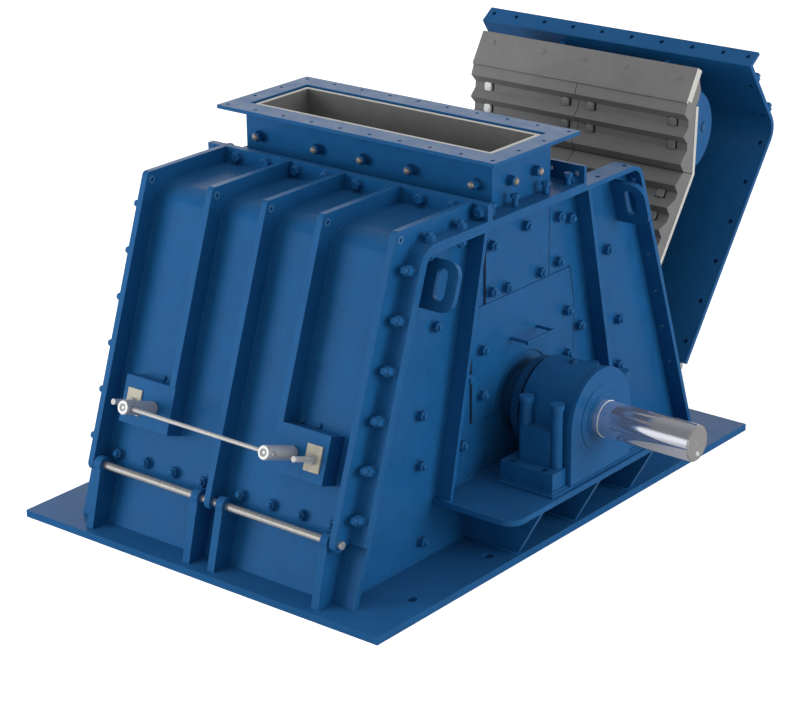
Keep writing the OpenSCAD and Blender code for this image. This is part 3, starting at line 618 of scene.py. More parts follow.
class Bench:
    """Hand modelling on one mesh at a time, with faces and edges picked by rule."""

    @staticmethod
    def clear() -> None:
        """Leaves object mode with nothing selected."""
        if bpy.context.object and bpy.context.object.mode != "OBJECT":
            bpy.ops.object.mode_set(mode="OBJECT")
        bpy.ops.object.select_all(action="DESELECT")

    @staticmethod
    def _open() -> None:
        """Applies a new start's place and size, and opens it with nothing selected."""
        bpy.ops.object.transform_apply(location=True, rotation=True, scale=True)
        bpy.ops.object.mode_set(mode="EDIT")
        bpy.ops.mesh.select_all(action="DESELECT")

    @classmethod
    def prism(cls, sides: int, radius: float, low: float, high: float) -> None:
        """Adds a prism on z as a start to shape.

        Args:
            sides: Its sides.
            radius: From its middle to a corner.
            low: Height of its foot.
            high: Height of its top.
        """
        cls.clear()
        bpy.ops.mesh.primitive_cylinder_add(
            vertices=sides, radius=radius, depth=high - low, location=(0, 0, (low + high) / 2)
        )
        cls._open()

    @classmethod
    def block(cls, size: Triple) -> None:
        """Adds a block that stands on z, as a start to shape.

        Args:
            size: Its width, depth and height.
        """
        cls.clear()
        bpy.ops.mesh.primitive_cube_add(size=1.0, location=(0, 0, size[2] / 2), scale=size)
        cls._open()

    @classmethod
    def peg(
        cls, sides: int, radius: float, low: float, high: float, offset: float,
        segments: int = 1, both: bool = False, smooth: float = 32.0,
    ) -> Model:
        """Models a prism with the corners of its top eased.

        Args:
            sides: Its sides.
            radius: From its middle to a corner.
            low: Height of its foot.
            high: Height of its top.
            offset: How far the easing reaches.
            segments: How many faces round the easing.
            both: Whether its foot is eased too.
            smooth: The angle in degrees up to which an edge is smooth.

        Returns:
            The model.
        """
        cls.prism(sides, radius, low, high)
        eased_from = low if both else high
        cls.ease(lambda a, b: abs(a.z - b.z) < NEAR and a.z > eased_from - NEAR, offset, segments)
        return cls.done(smooth)

    @classmethod
    def ring(cls, sides: int, outer: float, inner: float, thick: float) -> Model:
        """Models a flat ring with eased outer corners, standing on z.

        Args:
            sides: Its sides.
            outer: Its outer radius.
            inner: The radius of its hole.
            thick: Its thickness.

        Returns:
            The model.
        """
        cls.prism(sides, outer, 0.0, thick)
        cls.ease(lambda a, b: abs(a.z - b.z) < NEAR, 0.15 * min(thick, outer - inner))
        cls.pick(lambda middle, normal: abs(normal.z) > 0.99)
        bpy.ops.mesh.inset(thickness=outer - inner, depth=0.0)
        bpy.ops.mesh.delete(type="FACE")
        bpy.ops.mesh.select_mode(type="EDGE")
        bpy.ops.mesh.select_non_manifold()
        bpy.ops.mesh.bridge_edge_loops()
        bpy.ops.mesh.select_all(action="SELECT")
        bpy.ops.mesh.normals_make_consistent(inside=False)
        return cls.done(40.0)

    @staticmethod
    def pick(rule: Rule, faces: bool = True) -> None:
        """Selects in edit mode by place and direction.

        Args:
            rule: Says yes for a face's middle and normal, or for an edge's two ends.
            faces: Whether faces are picked, else edges.
        """
        bpy.ops.mesh.select_all(action="DESELECT")
        bpy.ops.mesh.select_mode(type="FACE" if faces else "EDGE")
        mesh = bmesh.from_edit_mesh(bpy.context.object.data)
        for part in mesh.faces if faces else mesh.edges:
            if faces:
                part.select = rule(part.calc_center_median(), part.normal)
            else:
                part.select = rule(part.verts[0].co, part.verts[1].co)
        bmesh.update_edit_mesh(bpy.context.object.data)

    @classmethod
    def ease(cls, rule: Rule, offset: float, segments: int = 1) -> None:
        """Bevels the edges that a rule picks."""
        cls.pick(rule, faces=False)
        bpy.ops.mesh.bevel(offset=offset, segments=segments, affect="EDGES")

    @staticmethod
    def pull(x: float, y: float, z: float) -> None:
        """Extrudes the picked faces by a distance along each axis."""
        bpy.ops.mesh.extrude_region_move(TRANSFORM_OT_translate={"value": (x, y, z)})

    @classmethod
    def step(cls, height: float, inset: float, rise: float) -> None:
        """Insets the flat top at a height and lifts or sinks it.

        Args:
            height: Where the top is.
            inset: How far in the new rim is.
            rise: How far the middle moves up.
        """
        cls.pick(lambda middle, normal: normal.z > 0.9 and abs(middle.z - height) < NEAR)
        bpy.ops.mesh.inset(thickness=inset, depth=0.0)
        cls.pull(0, 0, rise)

    @classmethod
    def done(cls, smooth: float = 32.0) -> Model:
        """Leaves edit mode and smooths the edges up to an angle in degrees.

        Args:
            smooth: The angle.

        Returns:
            The model.
        """
        made = bpy.context.object
        cls.clear()
        made.select_set(True)
        bpy.context.view_layer.objects.active = made
        bpy.ops.object.shade_smooth_by_angle(angle=math.radians(smooth))
        return made

    @classmethod
    def join(cls, parts: Sequence[Model], name: str) -> Model:
        """Makes one piece of several, at the origin.

        Args:
            parts: What it is made of.
            name: Its name.

        Returns:
            The piece.
        """
        cls.clear()
        for part in parts:
            part.select_set(True)
        bpy.context.view_layer.objects.active = parts[0]
        if len(parts) > 1:
            bpy.ops.object.join()
        bpy.ops.object.transform_apply(location=True, rotation=True, scale=True)
        made = bpy.context.object
        made.name = made.data.name = name
        return made

    @classmethod
    def store(cls, name: str, *parts: Model) -> Model:
        """Keeps a model out of the scene until it is copied.

        Args:
            name: What it models.
            *parts: What it is made of.

        Returns:
            The model.
        """
        made = cls.join(parts, "model_" + name)
        for collection in made.users_collection:
            collection.objects.unlink(made)
        return made

    @classmethod
    def copies(cls, model: Model, places: Iterable[Matrix], name: str) -> Model:
        """Copies a model to places and makes one piece of the copies.

        Args:
            model: What is copied.
            places: Where the copies go.
            name: The piece's name.

        Returns:
            The piece.
        """
        made = []
        for place in places:
            copy = model.copy()
            copy.data = model.data.copy()
            bpy.context.scene.collection.objects.link(copy)
            copy.matrix_world = place
            made.append(copy)
        bpy.context.view_layer.update()
        return cls.join(made, name)


def deliver(piece: Model, body: str, finish: Finish) -> Model:
    """Finishes a piece and lets it ride on a body.

    Args:
        piece: The piece.
        body: The body it moves with.
        finish: What it is finished in.

    Returns:
        The piece.
    """
    piece.data.materials.clear()
    piece.data.materials.append(finish.material())
    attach(piece, body)
    LOG.info("%s on %s: %d faces", piece.name, body, len(piece.data.polygons))
    return piece


class Tip(Enum):
    """What shows above the hexagon of a fastener."""

    NONE = "a plain bolt head"
    STUD = "the stud's end"
    DOME = "a domed end"


@dataclass(frozen=True)
class Fastener:
    """A hexagon on a washer, with or without a stud's end above it."""

    across: float = 0.046
    height: float = 0.021
    washer: float = 0.031
    washer_t: float = 0.004
    tip: Tip = Tip.STUD
    tip_r: float = 0.0135
    tip_h: float = 0.011
    sunk: float = 0.001
    chamfer: float = 0.09
    rim: float = 0.16
    dish: float = 0.0015
    washer_ease: float = 0.0012
    tip_ease: float = 0.0022
    dome_ease: float = 0.75

    @lru_cache
    def hexagon(self) -> Model:
        """Models the washer and the hexagon, standing on z.

        Returns:
            The model.
        """
        top = self.washer_t + self.height
        Bench.prism(6, self.across / math.sqrt(3), self.washer_t - self.sunk, top)
        Bench.ease(lambda a, b: min(a.z, b.z) > top - NEAR, self.chamfer * self.across)
        if self.tip is Tip.NONE:
            Bench.step(top, self.rim * self.across, -self.dish)
        head = Bench.done(20.0)
        washer = Bench.peg(16, self.washer, 0.0, self.washer_t, self.washer_ease)
        return Bench.store("hexagon", head, washer)

    @lru_cache
    def end(self) -> Model:
        """Models the stud's end, standing on z.

        Returns:
            The model.
        """
        top = self.washer_t + self.height
        ease, segments = self.tip_ease, 1
        if self.tip is Tip.DOME:
            ease, segments = self.dome_ease * self.tip_r, 3
        size = (self.tip_r, top - 2 * self.sunk, top + self.tip_h, ease, segments)
        return Bench.store("end", Bench.peg(14, *size, smooth=50.0))


class Fitter:
    """Puts fasteners on their seats, each turned its own way."""

    def __init__(self, seed: int = 11, most: float = 1.05) -> None:
        """Starts the turns of the hexagons at a seed, each up to a sixth of a circle."""
        self.turns = random.Random(seed)
        self.most = most

    def fit(
        self, kind: Fastener, seats: Sequence[Matrix], name: str, body: str,
        finish: Finish = PAINT, end_finish: Optional[Finish] = None,
    ) -> None:
        """Fits one kind of fastener on seats of one body.

        Args:
            kind: The fastener.
            seats: Where it goes, with z out of the metal.
            name: The piece's name.
            body: The body it rides on.
            finish: The hexagons' finish.
            end_finish: The stud ends' finish, where it isn't the hexagons'.
        """
        turned = [s @ Matrix.Rotation(self.turns.uniform(0, self.most), 4, "Z") for s in seats]
        parts = [Bench.copies(kind.hexagon(), turned, name)]
        if kind.tip is not Tip.NONE:
            ends = Bench.copies(kind.end(), turned, name + "_ends")
            if end_finish:
                deliver(ends, body, end_finish)
            else:
                parts.append(ends)
        piece = Bench.join(parts, name)
        deliver(piece, body, finish)


FITTER = Fitter()
NUT = Fastener(across=0.050, height=0.034, washer=0.033, tip_r=0.0155, tip_h=0.012)
DOOR_NUT = Fastener(across=0.050, height=0.026, washer=0.034, tip_r=0.016, tip_h=0.014)
STUD = Fastener(across=0.050, height=0.042, washer=0.036, washer_t=0.006, tip_r=0.018, tip_h=0.020)
BIG_NUT = Fastener(across=0.052, height=0.025, washer=0.034, tip_r=0.016, tip_h=0.014)
BIG_BOLT = Fastener(across=0.052, height=0.024, washer=0.036, tip=Tip.NONE)
CAP_TIP = Fastener(across=0.050, height=0.040, washer=0.030, tip=Tip.DOME, tip_r=0.019,
                   tip_h=0.013)
SMALL_BOLT = Fastener(across=0.024, height=0.010, washer=0.015, washer_t=0.002, tip=Tip.NONE)
FILLER_PLUG = Fastener(across=0.030, height=0.014, washer=0.022, tip=Tip.NONE)
LOCK_SCREW = Fastener(across=0.020, height=0.006, washer=0.014, washer_t=0.002, tip=Tip.NONE)


@dataclass(frozen=True)
class Welds:
    """Painted fillet beads along the corners of welded plates."""

    radius: float = 0.0062
    arc_steps: int = 6

    @lru_cache
    def bead(self) -> Model:
        """Models a bead one metre long with blunt ends, standing on z."""
        peg = Bench.peg(8, self.radius, 0.0, 1.0, 0.2 * self.radius, both=True, smooth=50.0)
        return Bench.store("bead", peg)

    def lay(self, places: Sequence[Matrix], name: str, body: str) -> None:
        """Lays beads that ride on one body, each at a place from between()."""
        deliver(Bench.copies(self.bead(), places, name), body, BEAD)


WELDS = Welds()


# ---------------------------------------------------------------- sub-assemblies


@dataclass
class Housing:
    """Base plate, side plates, end walls, top beams, shelves and access panels."""

    painted: tuple[str, ...] = (
        "base_plate", "side_plates", "side_flanges", "side_stiffeners", "lifting_lugs",
        "access_panels", "panel_handles", "end_walls", "top_beams", "hinge_gussets",
        "bearing_shelves", "shelf_gussets",
    )
    wall_x: float = 0.832
    panel_x: float = 0.840
    side_pairs: tuple[Pair, ...] = (
        (0.294, 1.315), (0.292, 1.560), (0.491, 0.905), (0.538, 0.558), (0.740, 1.261),
        (0.864, 0.830), (0.870, 0.563), (0.861, 0.146), (0.368, 1.026), (0.372, 0.783),
    )
    side_single: tuple[Pair, ...] = (
        (0.393, 1.527), (-0.004, 1.590), (-0.165, 1.303), (0.126, 1.304),
    )
    upper_panel_y: Pair = (-0.325, 0.213)
    panel_head: float = 1.640
    seam_z: float = 1.256
    panel_corner: Pair = (0.400, 1.067)
    lower_panel: Pair = (0.440, 0.646)
    seal_x: float = 0.8340
    seal_r: float = 0.0055
    seal_out: float = 0.9
    flange_back: float = -0.025
    flange_edge: float = 0.932
    foot: Pair = (1.49, 0.040)
    shelf: Pair = (0.76, 0.342)
    shelf_under: float = 0.312
    stiffener_y: Pair = (0.745, 0.721)
    stiffener_run: float = 0.2904
    stiffener_head: float = 1.685
    gusset_y: Row = (-0.5, 0.0, 0.5)
    gusset_half: float = 0.012
    gusset_x: float = 1.18
    beam_back: float = -0.392
    rear_beam: Triple = (0.855, 0.392, 1.733)

    def build(self) -> None:
        """Dresses the nodes and fits the nuts, the beads and the seals."""
        dress(PAINT, *self.painted)
        dress(LINER, "side_liners")
        dress(ROD, "hinge_pins")
        self._side_nuts()
        self._flange_nuts()
        self._welds()
        self._seals()

    def _seals(self) -> None:
        """Rubber sealing strips along the upright edges of the access panels."""
        gap = self.seal_out * self.seal_r
        reach, foot = self.lower_panel
        neck, corner = self.panel_corner
        runs = [(y, self.seam_z, y, self.panel_head)
                for y in (self.upper_panel_y[0] - gap, self.upper_panel_y[1] + gap)]
        for end in SIDES:
            edge = end * (reach + gap)
            runs.append((edge, foot, edge, corner))
            runs.append((edge, corner, end * (neck + gap), self.seam_z))
        places = [between((side * self.seal_x, y, z), (side * self.seal_x, y_2, z_2))
                  for side in SIDES for y, z, y_2, z_2 in runs]
        strip = Welds(self.seal_r).bead()
        deliver(Bench.copies(strip, places, "panel_seals"), "housing", RUBBER)

    def _welds(self) -> None:
        """Beads round the stiffeners, the shelves, the gussets and the foot of the sides."""
        lines = []
        for side in SIDES:
            wall, rim = side * self.wall_x, side * self.flange_edge
            for reach, z in (self.foot, self.shelf):
                lines.append(((wall, -reach, z), (wall, reach, z)))
            base, shelf = self.foot[1], self.shelf[1]
            for end in SIDES:
                for face in self.stiffener_y:
                    foot, head = end * face, end * (face - self.stiffener_run)
                    lines.append(((wall, foot, shelf), (wall, head, self.stiffener_head)))
                    lines.append(((wall, foot, shelf), (rim, foot, shelf)))
            for y in self.gusset_y:
                for face in (y - self.gusset_half, y + self.gusset_half):
                    lines.append(((wall, face, base), (side * self.gusset_x, face, base)))
                    lines.append(((wall, face, base), (wall, face, self.shelf_under)))
        WELDS.lay([between(*line) for line in lines], "housing_welds", "housing")

    def _on_panel(self, y: float, z: float) -> bool:
        """Whether a point of the side lies on an access panel."""
        upper = z > self.seam_z and self.upper_panel_y[0] < y < self.upper_panel_y[1]
        return upper or (self.lower_panel[1] < z < self.seam_z and abs(y) < self.lower_panel[0])

    def _side_nuts(self) -> None:
        """Nuts of the wear plates' studs, on both sides."""
        points = [(y * end, z) for y, z in self.side_pairs for end in SIDES]
        points += self.side_single
        points = [(self.panel_x if self._on_panel(*p) else self.wall_x, *p) for p in points]
        FITTER.fit(NUT, both_sides(points, (1, 0, 0)), "side_nuts", "housing")

    def _flange_nuts(self) -> None:
        """Nuts behind the flanges and the beam that the front door is bolted to."""
        over = Matrix.Rotation(math.pi, 4, "X")
        back = [place @ over for place in CLOSING.slope(self.flange_back)]
        back += CLOSING.crown(self.flange_back, -1)
        FITTER.fit(NUT, back, "flange_nuts", "housing")
        FITTER.fit(BIG_NUT, CLOSING.beam(self.beam_back, 1), "beam_nuts", "housing")
        rear = both_sides([self.rear_beam], (0, -1, 0))
        FITTER.fit(BIG_NUT, rear, "rear_beam_nuts", "housing")


@dataclass
class Inlet:
    """Feed box on its foot plates, with its flange and wear plates."""

    liner_x: Row = (-0.720, -0.312, 0.0, 0.312, 0.720)
    wall: Pair = (0.819, 0.248)
    row_z: float = 1.850
    end_y: float = 0.105
    foot_x: float = 0.876
    foot_y: Row = (-0.325, -0.132, 0.132, 0.325)
    foot_top: float = 1.730
    sleeve: Peg = (0.0165, 0.0, 0.046, 0.002)
    sleeve_head: Peg = (0.024, 0.045, 0.065, 0.0035)
    flange_z: float = 1.993

    def build(self) -> None:
        """Dresses the nodes and fits the bolts and the beads."""
        dress(PAINT, "inlet_box", "inlet_flange")
        steel = WearSteel("inlet_steel", grey(0.158), grey(0.188), cut_axis=(0.0, 0.0, 1.0))
        dress(steel, "inlet_liners")
        x, y = self.wall
        seats = [seat((bolt, end * y, self.row_z), (0, end, 0))
                 for end in SIDES for bolt in self.liner_x]
        seats += both_sides([(x, end * self.end_y, self.row_z) for end in SIDES], (1, 0, 0))
        FITTER.fit(CAP_TIP, seats, "inlet_bolts", "housing", end_finish=TIP_STEEL)
        feet = both_sides([(self.foot_x, foot, self.foot_top) for foot in self.foot_y], (0, 0, 1))
        sleeve = Bench.peg(18, *self.sleeve, both=True, smooth=40.0)
        bolt = Bench.store("sprung_bolt", sleeve, Bench.peg(6, *self.sleeve_head, smooth=20.0))
        deliver(Bench.copies(bolt, feet, "foot_bolts"), "housing", PAINT)
        corners = ((-x, -y), (x, -y), (x, y), (-x, y), (-x, -y))
        beads = [between((*a, z), (*b, z)) for a, b in zip(corners, corners[1:])
                 for z in (self.foot_top, self.flange_z)]
        WELDS.lay(beads, "inlet_welds", "housing")


@dataclass
class Bearings:
    """Bearing blocks on their soles, with cap bolts and shaft seals."""

    plug: Triple = (1.153, 0.0, 0.914)

    def build(self) -> None:
        """Dresses the nodes and fits the filler plugs."""
        dress(PAINT, "bearings", "bearing_soles", "cap_bolts")
        dress(NAVY, "shaft_seals")
        plugs = both_sides([self.plug], (0, 0, 1))
        FITTER.fit(FILLER_PLUG, plugs, "filler_plugs", "housing", NAVY)


@dataclass
class Rotor:
    """Shaft, discs, spacers and hammers."""

    axis_z: float = 0.660
    groove_x: float = 1.3665
    ring: Ring = (0.0975, 0.0912, 0.005)
    end_x: float = 1.906
    centre: Peg = (0.0118, -0.006, 0.0, 0.001)
    screw_drop: float = 0.055

    def _on_axis(self, x: float, drop: float = 0.0) -> list[Matrix]:
        """A seat that faces along the shaft, on its axis or below it."""
        return [seat((x, 0, self.axis_z - drop), (1, 0, 0))]

    def build(self) -> None:
        """Dresses the nodes and fits the shaft's ring, centre plug and lock screw; the near-white
        ring and screw also paint the highlights of the groove and the end face.
        """
        # The ring in the groove and the screw below the centre are near-white: partly real parts,
        # partly a painted highlight and glint.
        ring = Bench.store("ring", Bench.ring(72, *self.ring))
        piece = Bench.copies(ring, self._on_axis(self.groove_x), "retaining_ring_highlight")
        deliver(piece, "rotor", BRIGHT)
        plug = Bench.store("centre_plug", Bench.peg(24, *self.centre))
        piece = Bench.copies(plug, self._on_axis(self.end_x), "centre_plug")
        deliver(piece, "rotor", CHROME)
        place = self._on_axis(self.end_x, self.screw_drop)
        FITTER.fit(LOCK_SCREW, place, "lock_screw_glint", "rotor", BRIGHT)
        dress(CHROME, "rotor_shaft")
        dress(ROTOR, "rotor_discs", "rotor_spacers")
        dress(TUBE, "hammer_pins")
        dress(FORGED, "hammers")


@dataclass
class Breaker:
    """Corrugated apron on its bent carrier, hung from the door's pivot rod."""

    end: str
    swing: Swing
    top: Pair = (-0.469, 1.401)
    upper_lean: float = math.radians(52.3)
    lower_lean: float = math.radians(20.5)
    upper_len: float = 0.379
    upper_rows: Row = (0.076, 0.206)
    lower_rows: Row = tuple(0.174 + 0.134 * i for i in range(5))
    liner_t: Pair = (0.092, 0.098)
    bolt_x: Row = (-0.641, -0.087, 0.087, 0.641)
    head: Pair = (0.050, 0.015)
    # The dark plate under each plough bolt, how far down it sits and its rim: it paints the shadow
    # below the head.
    shadow_pocket: Triple = (0.0675, 0.075, 0.0035)
    shadow_pocket_drop: float = 0.006
    shadow_pocket_rim: Pair = (0.004, -0.002)
    carrier_end: float = 0.744
    web_gap: float = 0.0005
    curtain_lean: float = math.radians(24.0)
    curtain_off: Pair = (0.194, 0.122)
    curtain_t: float = 0.040
    plate: Triple = (1.490, 0.190, 0.036)
    lip: Pair = (0.016, 0.014)
    curtain_x: Row = (-0.648, -0.288, 0.0, 0.288, 0.648)
    curtain_row: float = 0.062
    curtain_head: Peg = (0.017, -0.001, 0.004, 0.002)

    @staticmethod
    def _down(lean: float) -> Vector:
        """The direction down a leaning face, as (y, z)."""
        return Vector((-math.sin(lean), -math.cos(lean)))

    def _seat(self, x: float, start: Vector, down: Vector, along: float, out: float) -> Matrix:
        """A seat on a face of the apron, facing the rotor.

        Args:
            x: Across the apron.
            start: The face's start, as (y, z).
            down: Its direction down.
            along: How far down.
            out: How far in front of the face's back.

        Returns:
            The place at rest.
        """
        inward = Vector((-down.y, down.x))
        axes = Matrix((Vector((-1, 0, 0)), Vector((0, *-down)), Vector((0, *inward))))
        point = start + down * along + inward * out
        place = Matrix.Translation((x, *point)) @ axes.transposed().to_4x4()
        return self.swing.move() @ place

    def _faces(self) -> tuple[tuple[Vector, Vector], ...]:
        """The carrier's two panels.

        Returns:
            The start and the direction down of each, from the top.
        """
        top = Vector(self.top)
        upper, lower = self._down(self.upper_lean), self._down(self.lower_lean)
        return (top, upper), (top + upper * self.upper_len, lower)

    def _webs(self) -> Iterable[Triple]:
        """Gives the front's y and z of each of the carrier's panels, and its back's reach.

        Yields:
            The upper and then the lower panel's.
        """
        for start, down in self._faces():
            place = self._seat(0.0, start, down, 0.0, 0.0)
            point, out = place.to_translation(), place.to_3x3() @ Vector((0, 0, 1))
            yield out.y, out.z, point.y * out.y + point.z * out.z - self.web_gap

    def build(self) -> None:
        """Dresses the nodes, and fits the liner bolts and the curtain."""
        carrier = WearSteel(self.end + "_carrier_steel", cut_axis=(1.0, 0.0, 0.0),
                            cut_from=self.carrier_end, webs=tuple(self._webs()))
        dress(carrier, self.end + "_breaker_carrier")
        dress(LINER, self.end + "_breaker_liners", self.end + "_curtain")
        dress(PIVOT, self.end + "_pivot_rod")
        rows = zip(self._faces(), (self.upper_rows, self.lower_rows), self.liner_t)
        self._liner_bolts([self._seat(x, *face, along, out)
                           for face, row, out in rows for along in row for x in self.bolt_x])
        self._curtain_plate()

    def _fit(self, model: Model, places: Sequence[Matrix], name: str, finish: Finish) -> Model:
        """Copies a model to places on the apron as one piece."""
        made = Bench.copies(model, places, self.end + name)
        return deliver(made, self.end + "_breaker", finish)

    def _liner_bolts(self, seats: Sequence[Matrix]) -> None:
        """Square-headed plough bolts on dark pocket plates set low as painted shadow, with the
        rear's last column new.

        Args:
            seats: The bolts' seats, row by row.
        """
        # A near-black plate larger than the head and set lower, so that its lower rim paints a
        # shadow under the head.
        Bench.block(self.shadow_pocket)
        Bench.step(self.shadow_pocket[2], *self.shadow_pocket_rim)
        low = Matrix.Translation((0, -self.shadow_pocket_drop, 0))
        shadow_pocket = Bench.store("shadow_pocket", Bench.done())
        self._fit(shadow_pocket, [s @ low for s in seats], "_bolt_shadow_pockets", SHADOW_POCKET)
        wide, tall = self.head
        Bench.block((wide, wide, tall))
        Bench.ease(lambda a, b: abs(a.z - b.z) > 0.5 * tall, 0.24 * wide, 3)
        Bench.ease(lambda a, b: min(a.z, b.z) > tall - NEAR, 0.0025, 2)
        head = Bench.store("plough_head", Bench.done(40.0))
        columns = len(self.bolt_x)
        new = seats[columns - 1::columns] if self.swing.rear else []
        if new:
            self._fit(head, new, "_new_bolts", BRIGHT)
        self._fit(head, [s for s in seats if s not in new], "_liner_bolts", WORN)

    def _curtain_plate(self) -> None:
        """The curtain with its lip over the first ridge, in place of the plain plate."""
        thick = self.plate[2]
        over, rise = self.lip
        Bench.block(self.plate)
        Bench.pick(lambda middle, normal: normal.z > 0.9)
        Bench.pull(0, 0, rise)
        Bench.pick(lambda middle, normal: normal.y < -0.9 and middle.z > thick)
        Bench.pull(0, -over, 0)
        Bench.ease(lambda a, b: min(a.z, b.z) > thick + rise - NEAR, 0.0025, 2)
        plate = Bench.store("curtain_plate", Bench.done(40.0))
        down = self._down(self.curtain_lean)
        start = Vector(self.top) + Vector(self.curtain_off)
        place = self._seat(0.0, start, down, self.plate[1] / 2, -self.curtain_t)
        steel = WearSteel(self.end + "_curtain_steel", cut_axis=(1.0, 0.0, 0.0))
        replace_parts(self._fit(plate, [place], "_curtain_plate", steel), self.end + "_curtain")
        dome = Bench.peg(16, *self.curtain_head, 2, smooth=50.0)
        face = thick + rise - self.curtain_t
        seats = [self._seat(x, start, down, self.curtain_row, face) for x in self.curtain_x]
        self._fit(Bench.store("countersunk_head", dome), seats, "_curtain_bolts", LINER)


@dataclass
class Door:
    """A ribbed door with its closing bolts and adjusters."""

    end: str
    swing: Swing
    skin: float = 0.025
    low_x: Row = (0.130, 0.333, 0.528, 0.728)
    low_s: float = 0.371
    box_x: Row = (0.417, 0.524)
    box_s: float = 0.822
    rib_x: Row = (-0.820, -0.365, 0.0, 0.365, 0.820)
    rib_half: float = 0.018
    rib_foot: float = 0.330
    boxed_x: float = 0.365
    boxed_foot: float = 0.808
    rib_hole: Pair = (-1.001, 1.775)
    grommet: Ring = (0.021, 0.011, 0.004)
    rib_plug: Peg = (0.0113, -0.010, -0.003, 0.001)
    bend: Triple = (-0.8474, 1.610, 0.125)
    strip_y: float = -0.432
    jack: Triple = (0.473, 0.672, 0.352)
    # A near-white ring on each jack's end, which paints the highlight of the end face.
    jack_highlight_ring: Ring = (0.0335, 0.0215, 0.003)
    jack_screw: Peg = (0.0115, -0.017, 0.001, 0.0015)

    def build(self) -> None:
        """Dresses the nodes and fits the bolts, the beads and the small fittings."""
        parts = ("door_shell", "door_ribs", "hangers", "adjuster_boxes")
        dress(PAINT, *(f"{self.end}_{part}" for part in parts))
        dress(CREAM, self.end + "_clamp_plates")
        dress(TUBE, self.end + "_jacks")
        dress(STUD_STEEL, self.end + "_screws")
        dress(SHANK, self.end + "_cross_shaft")
        self._bolts()
        self._grommets()
        self._jack_ends()
        WELDS.lay(self.swing.carry(self._rib_beads()), self.end + "_rib_welds", self._body)

    @property
    def _body(self) -> str:
        """The body that the fittings ride on."""
        return self.end + "_door"

    def _bolts(self) -> None:
        """Nuts of the foot and the boxes, and bolts round the flange and along the strip."""
        flange, crown = (BIG_BOLT, STUD) if self.swing.rear else (STUD, BIG_NUT)
        for kind, seats, name in (
            (DOOR_NUT, FACE.seats(self.low_x, (self.low_s,), self.skin), "_low_nuts"),
            (SMALL_BOLT, FACE.seats(self.box_x, (self.box_s,), self.skin), "_box_bolts"),
            (flange, CLOSING.slope(self.skin), "_flange_bolts"),
            (crown, CLOSING.crown(self.skin, 1), "_top_bolts"),
            (BIG_BOLT, CLOSING.beam(self.strip_y, -1), "_strip_bolts"),
        ):
            FITTER.fit(kind, self.swing.carry(seats), self.end + name, self._body)

    def _fit(self, model: Model, seats: Sequence[Matrix], name: str, finish: Finish) -> None:
        """Copies a model to seats on the door as one piece.

        Args:
            model: What is copied.
            seats: The seats on the shut front door.
            name: The piece's name, after the door's end.
            finish: What it is finished in.
        """
        stored = Bench.store("door" + name, model)
        made = Bench.copies(stored, self.swing.carry(seats), self.end + name)
        deliver(made, self._body, finish)

    def _grommets(self) -> None:
        """Pressed rings and sunk plugs in the holes of the ribs' shoulders."""
        seats = [seat((x + side * self.rib_half, *self.rib_hole), (side, 0, 0))
                 for x in self.rib_x for side in SIDES]
        self._fit(Bench.ring(28, *self.grommet), seats, "_grommets", PRESSED)
        self._fit(Bench.peg(20, *self.rib_plug), seats, "_rib_plugs", PAINT)

    def _jack_ends(self) -> None:
        """Near-white end rings of the jack tubes, which paint the highlight of their lit end
        faces, with a screw in each socket.
        """
        x, s, top = self.jack
        seats = FACE.seats((x,), (s,), top)
        self._fit(Bench.ring(40, *self.jack_highlight_ring), seats, "_jack_highlight_rings", BRIGHT)
        self._fit(Bench.peg(6, *self.jack_screw, smooth=20.0), seats, "_jack_screws", BRIGHT)

    def _rib_beads(self) -> list[Matrix]:
        """Where the beads run along both feet of each rib, up the slope and over the top.

        Returns:
            The beads' places on the shut front door.
        """
        beads = []
        middle, radius = Vector(self.bend[:2]), self.bend[2]
        turn = (math.pi / 2 - FACE.lean) / WELDS.arc_steps
        turns = [FACE.lean + turn * i for i in range(WELDS.arc_steps + 1)]
        arc = [middle + radius * Vector((-math.cos(a), math.sin(a))) for a in turns]
        for rib in self.rib_x:
            foot = self.boxed_foot if abs(rib) == self.boxed_x else self.rib_foot
            for side in SIDES:
                x = rib + side * self.rib_half
                low = FACE.seat(x, foot, self.skin).to_translation()
                points = [low] + [Vector((x, *p)) for p in arc]
                points.append(Vector((x, self.strip_y, arc[-1].y)))
                beads += [between(a, b) for a, b in zip(points, points[1:])]
        return beads


# ---------------------------------------------------------------- stage


@dataclass(frozen=True)
class Softbox:
    """A square studio lamp that faces a point."""

    name: str
    place: Triple
    size: float
    power: float
    aim: Triple = (0.0, 0.0, 0.9)

    def hang(self) -> None:
        """Adds the lamp."""
        data = bpy.data.lights.new(self.name, "AREA")
        data.shape = "SQUARE"
        data.size = self.size
        data.energy = self.power
        lamp = bpy.data.objects.new(self.name, data)
        bpy.context.scene.collection.objects.link(lamp)
        lamp.visible_glossy = False
        lamp.matrix_world = seat(self.place, Vector(self.place) - Vector(self.aim))


@dataclass(frozen=True)
class PaleFloor(Finish):
    """A pale matt floor that the camera sees as white, with the machine's shadow."""

    name: str = "pale_floor"
    greys: Pair = (0.58, 0.62)
    glow: float = 0.90

    def paint(self, graph: Graph) -> None:
        """Paints the floor, with a glow for the camera alone.

        Args:
            graph: The empty graph.
        """
        colour = graph.tint(graph.noise(3.0, 4.0), *(grey(level) for level in self.greys))
        matt = graph.node("BsdfDiffuse", inputs={"Color": colour})
        glow = graph.node("Emission", inputs={"Color": (1, 1, 1, 1), "Strength": self.glow})
        both = graph.node("AddShader", inputs={0: matt, 1: glow})
        camera = graph.node("LightPath", output="Is Camera Ray")
        shader = graph.node("MixShader", inputs={0: camera, 1: matt, 2: both})
        graph.node("OutputMaterial", inputs={"Surface": shader})


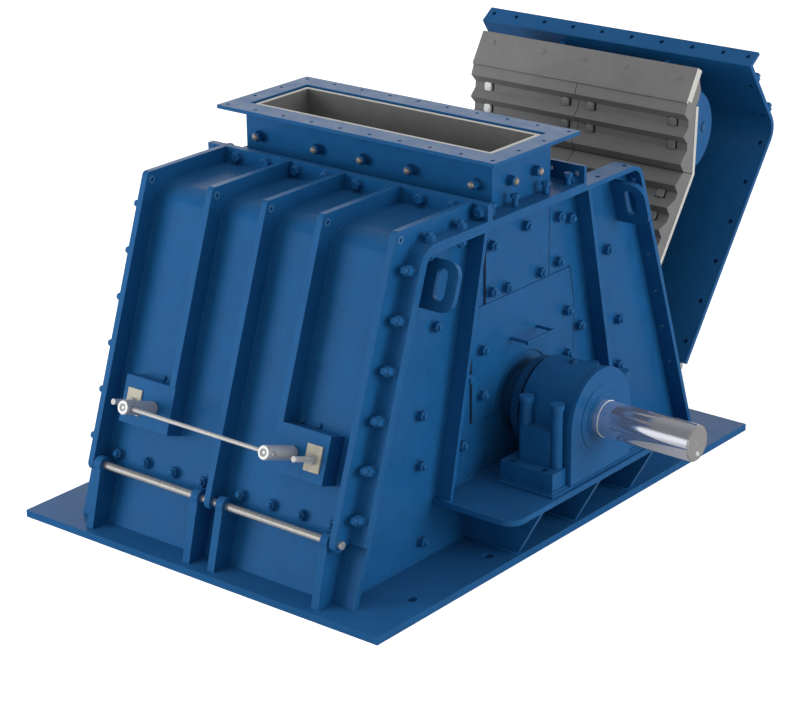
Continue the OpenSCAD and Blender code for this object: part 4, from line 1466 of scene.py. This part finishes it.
@dataclass
class Stage:
    """Pale floor, studio light and camera."""

    floor_size: float = 90.0
    eye: Triple = (7.956, -9.781, 5.538)
    turn: Triple = (68.8325, 0.6507, 38.8177)
    lens: float = 112.66
    sensor: float = 36.0
    ambient: float = 0.56
    mirrored: Pair = (1.0, 1.65)
    wall_span: Pair = (-0.3, 0.5)
    overhead: float = 0.15
    overhead_span: Pair = (0.30, 0.56)
    lamps: tuple[Softbox, ...] = (
        Softbox("key", (-6.6, -8.7, 3.0), 6.0, 780.0),
        Softbox("fill", (10.2, 2.4, 3.0), 6.0, 600.0),
        Softbox("top", (-1.0, -2.0, 9.5), 7.0, 60.0),
    )

    def build(self) -> None:
        """Builds the floor, the world, the lamps and the camera."""
        self._floor()
        self._world()
        for lamp in self.lamps:
            lamp.hang()
        self._camera()
        bpy.context.scene.view_settings.view_transform = "Standard"

    def _floor(self) -> None:
        """Lays the floor."""
        Bench.clear()
        bpy.ops.mesh.primitive_plane_add(size=self.floor_size, location=(0, 0, 0))
        floor = bpy.context.object
        floor.name = "floor"
        floor.data.materials.append(PaleFloor().material())

    def _world(self) -> None:
        """White to the camera, a soft grey as light, and a wall and a dim ceiling in gloss."""
        world = bpy.data.worlds.new("studio")
        world.use_nodes = True
        bpy.context.scene.world = world
        graph = Graph(world.node_tree)
        camera = graph.node("LightPath", output="Is Camera Ray")
        glossy = graph.node("LightPath", output="Is Glossy Ray")
        sight = graph.node("TexCoord", output="Generated")
        wall = graph.along(sight, (0, 1, 0)).ramp(*self.wall_span, *self.mirrored)
        height = graph.along(sight, (0, 0, 1)).ramp(*self.overhead_span, 1.0, self.overhead)
        light = glossy * (wall * height - self.ambient) + self.ambient
        inputs = {"Color": (1.0, 1.0, 1.0, 1.0), "Strength": light.most(camera)}
        shader = graph.node("Background", inputs=inputs)
        graph.node("OutputWorld", inputs={"Surface": shader})

    def _camera(self) -> None:
        """The camera that the machine is seen with."""
        data = bpy.data.cameras.new("camera")
        data.lens = self.lens
        data.sensor_width = self.sensor
        camera = bpy.data.objects.new("camera", data)
        bpy.context.scene.collection.objects.link(camera)
        camera.location = self.eye
        camera.rotation_euler = tuple(math.radians(a) for a in self.turn)
        bpy.context.scene.camera = camera


def main() -> None:
    """Builds the machine's sub-assemblies in order, and then the stage."""
    doors = Door("front", SHUT), Door("rear", OPEN)
    breakers = Breaker("front", SHUT), Breaker("rear", OPEN)
    for assembly in (Housing(), Inlet(), Bearings(), Rotor(), *doors, *breakers, Stage()):
        assembly.build()
        LOG.info("built %s", type(assembly).__name__)


if __name__ == "__main__":
    main()
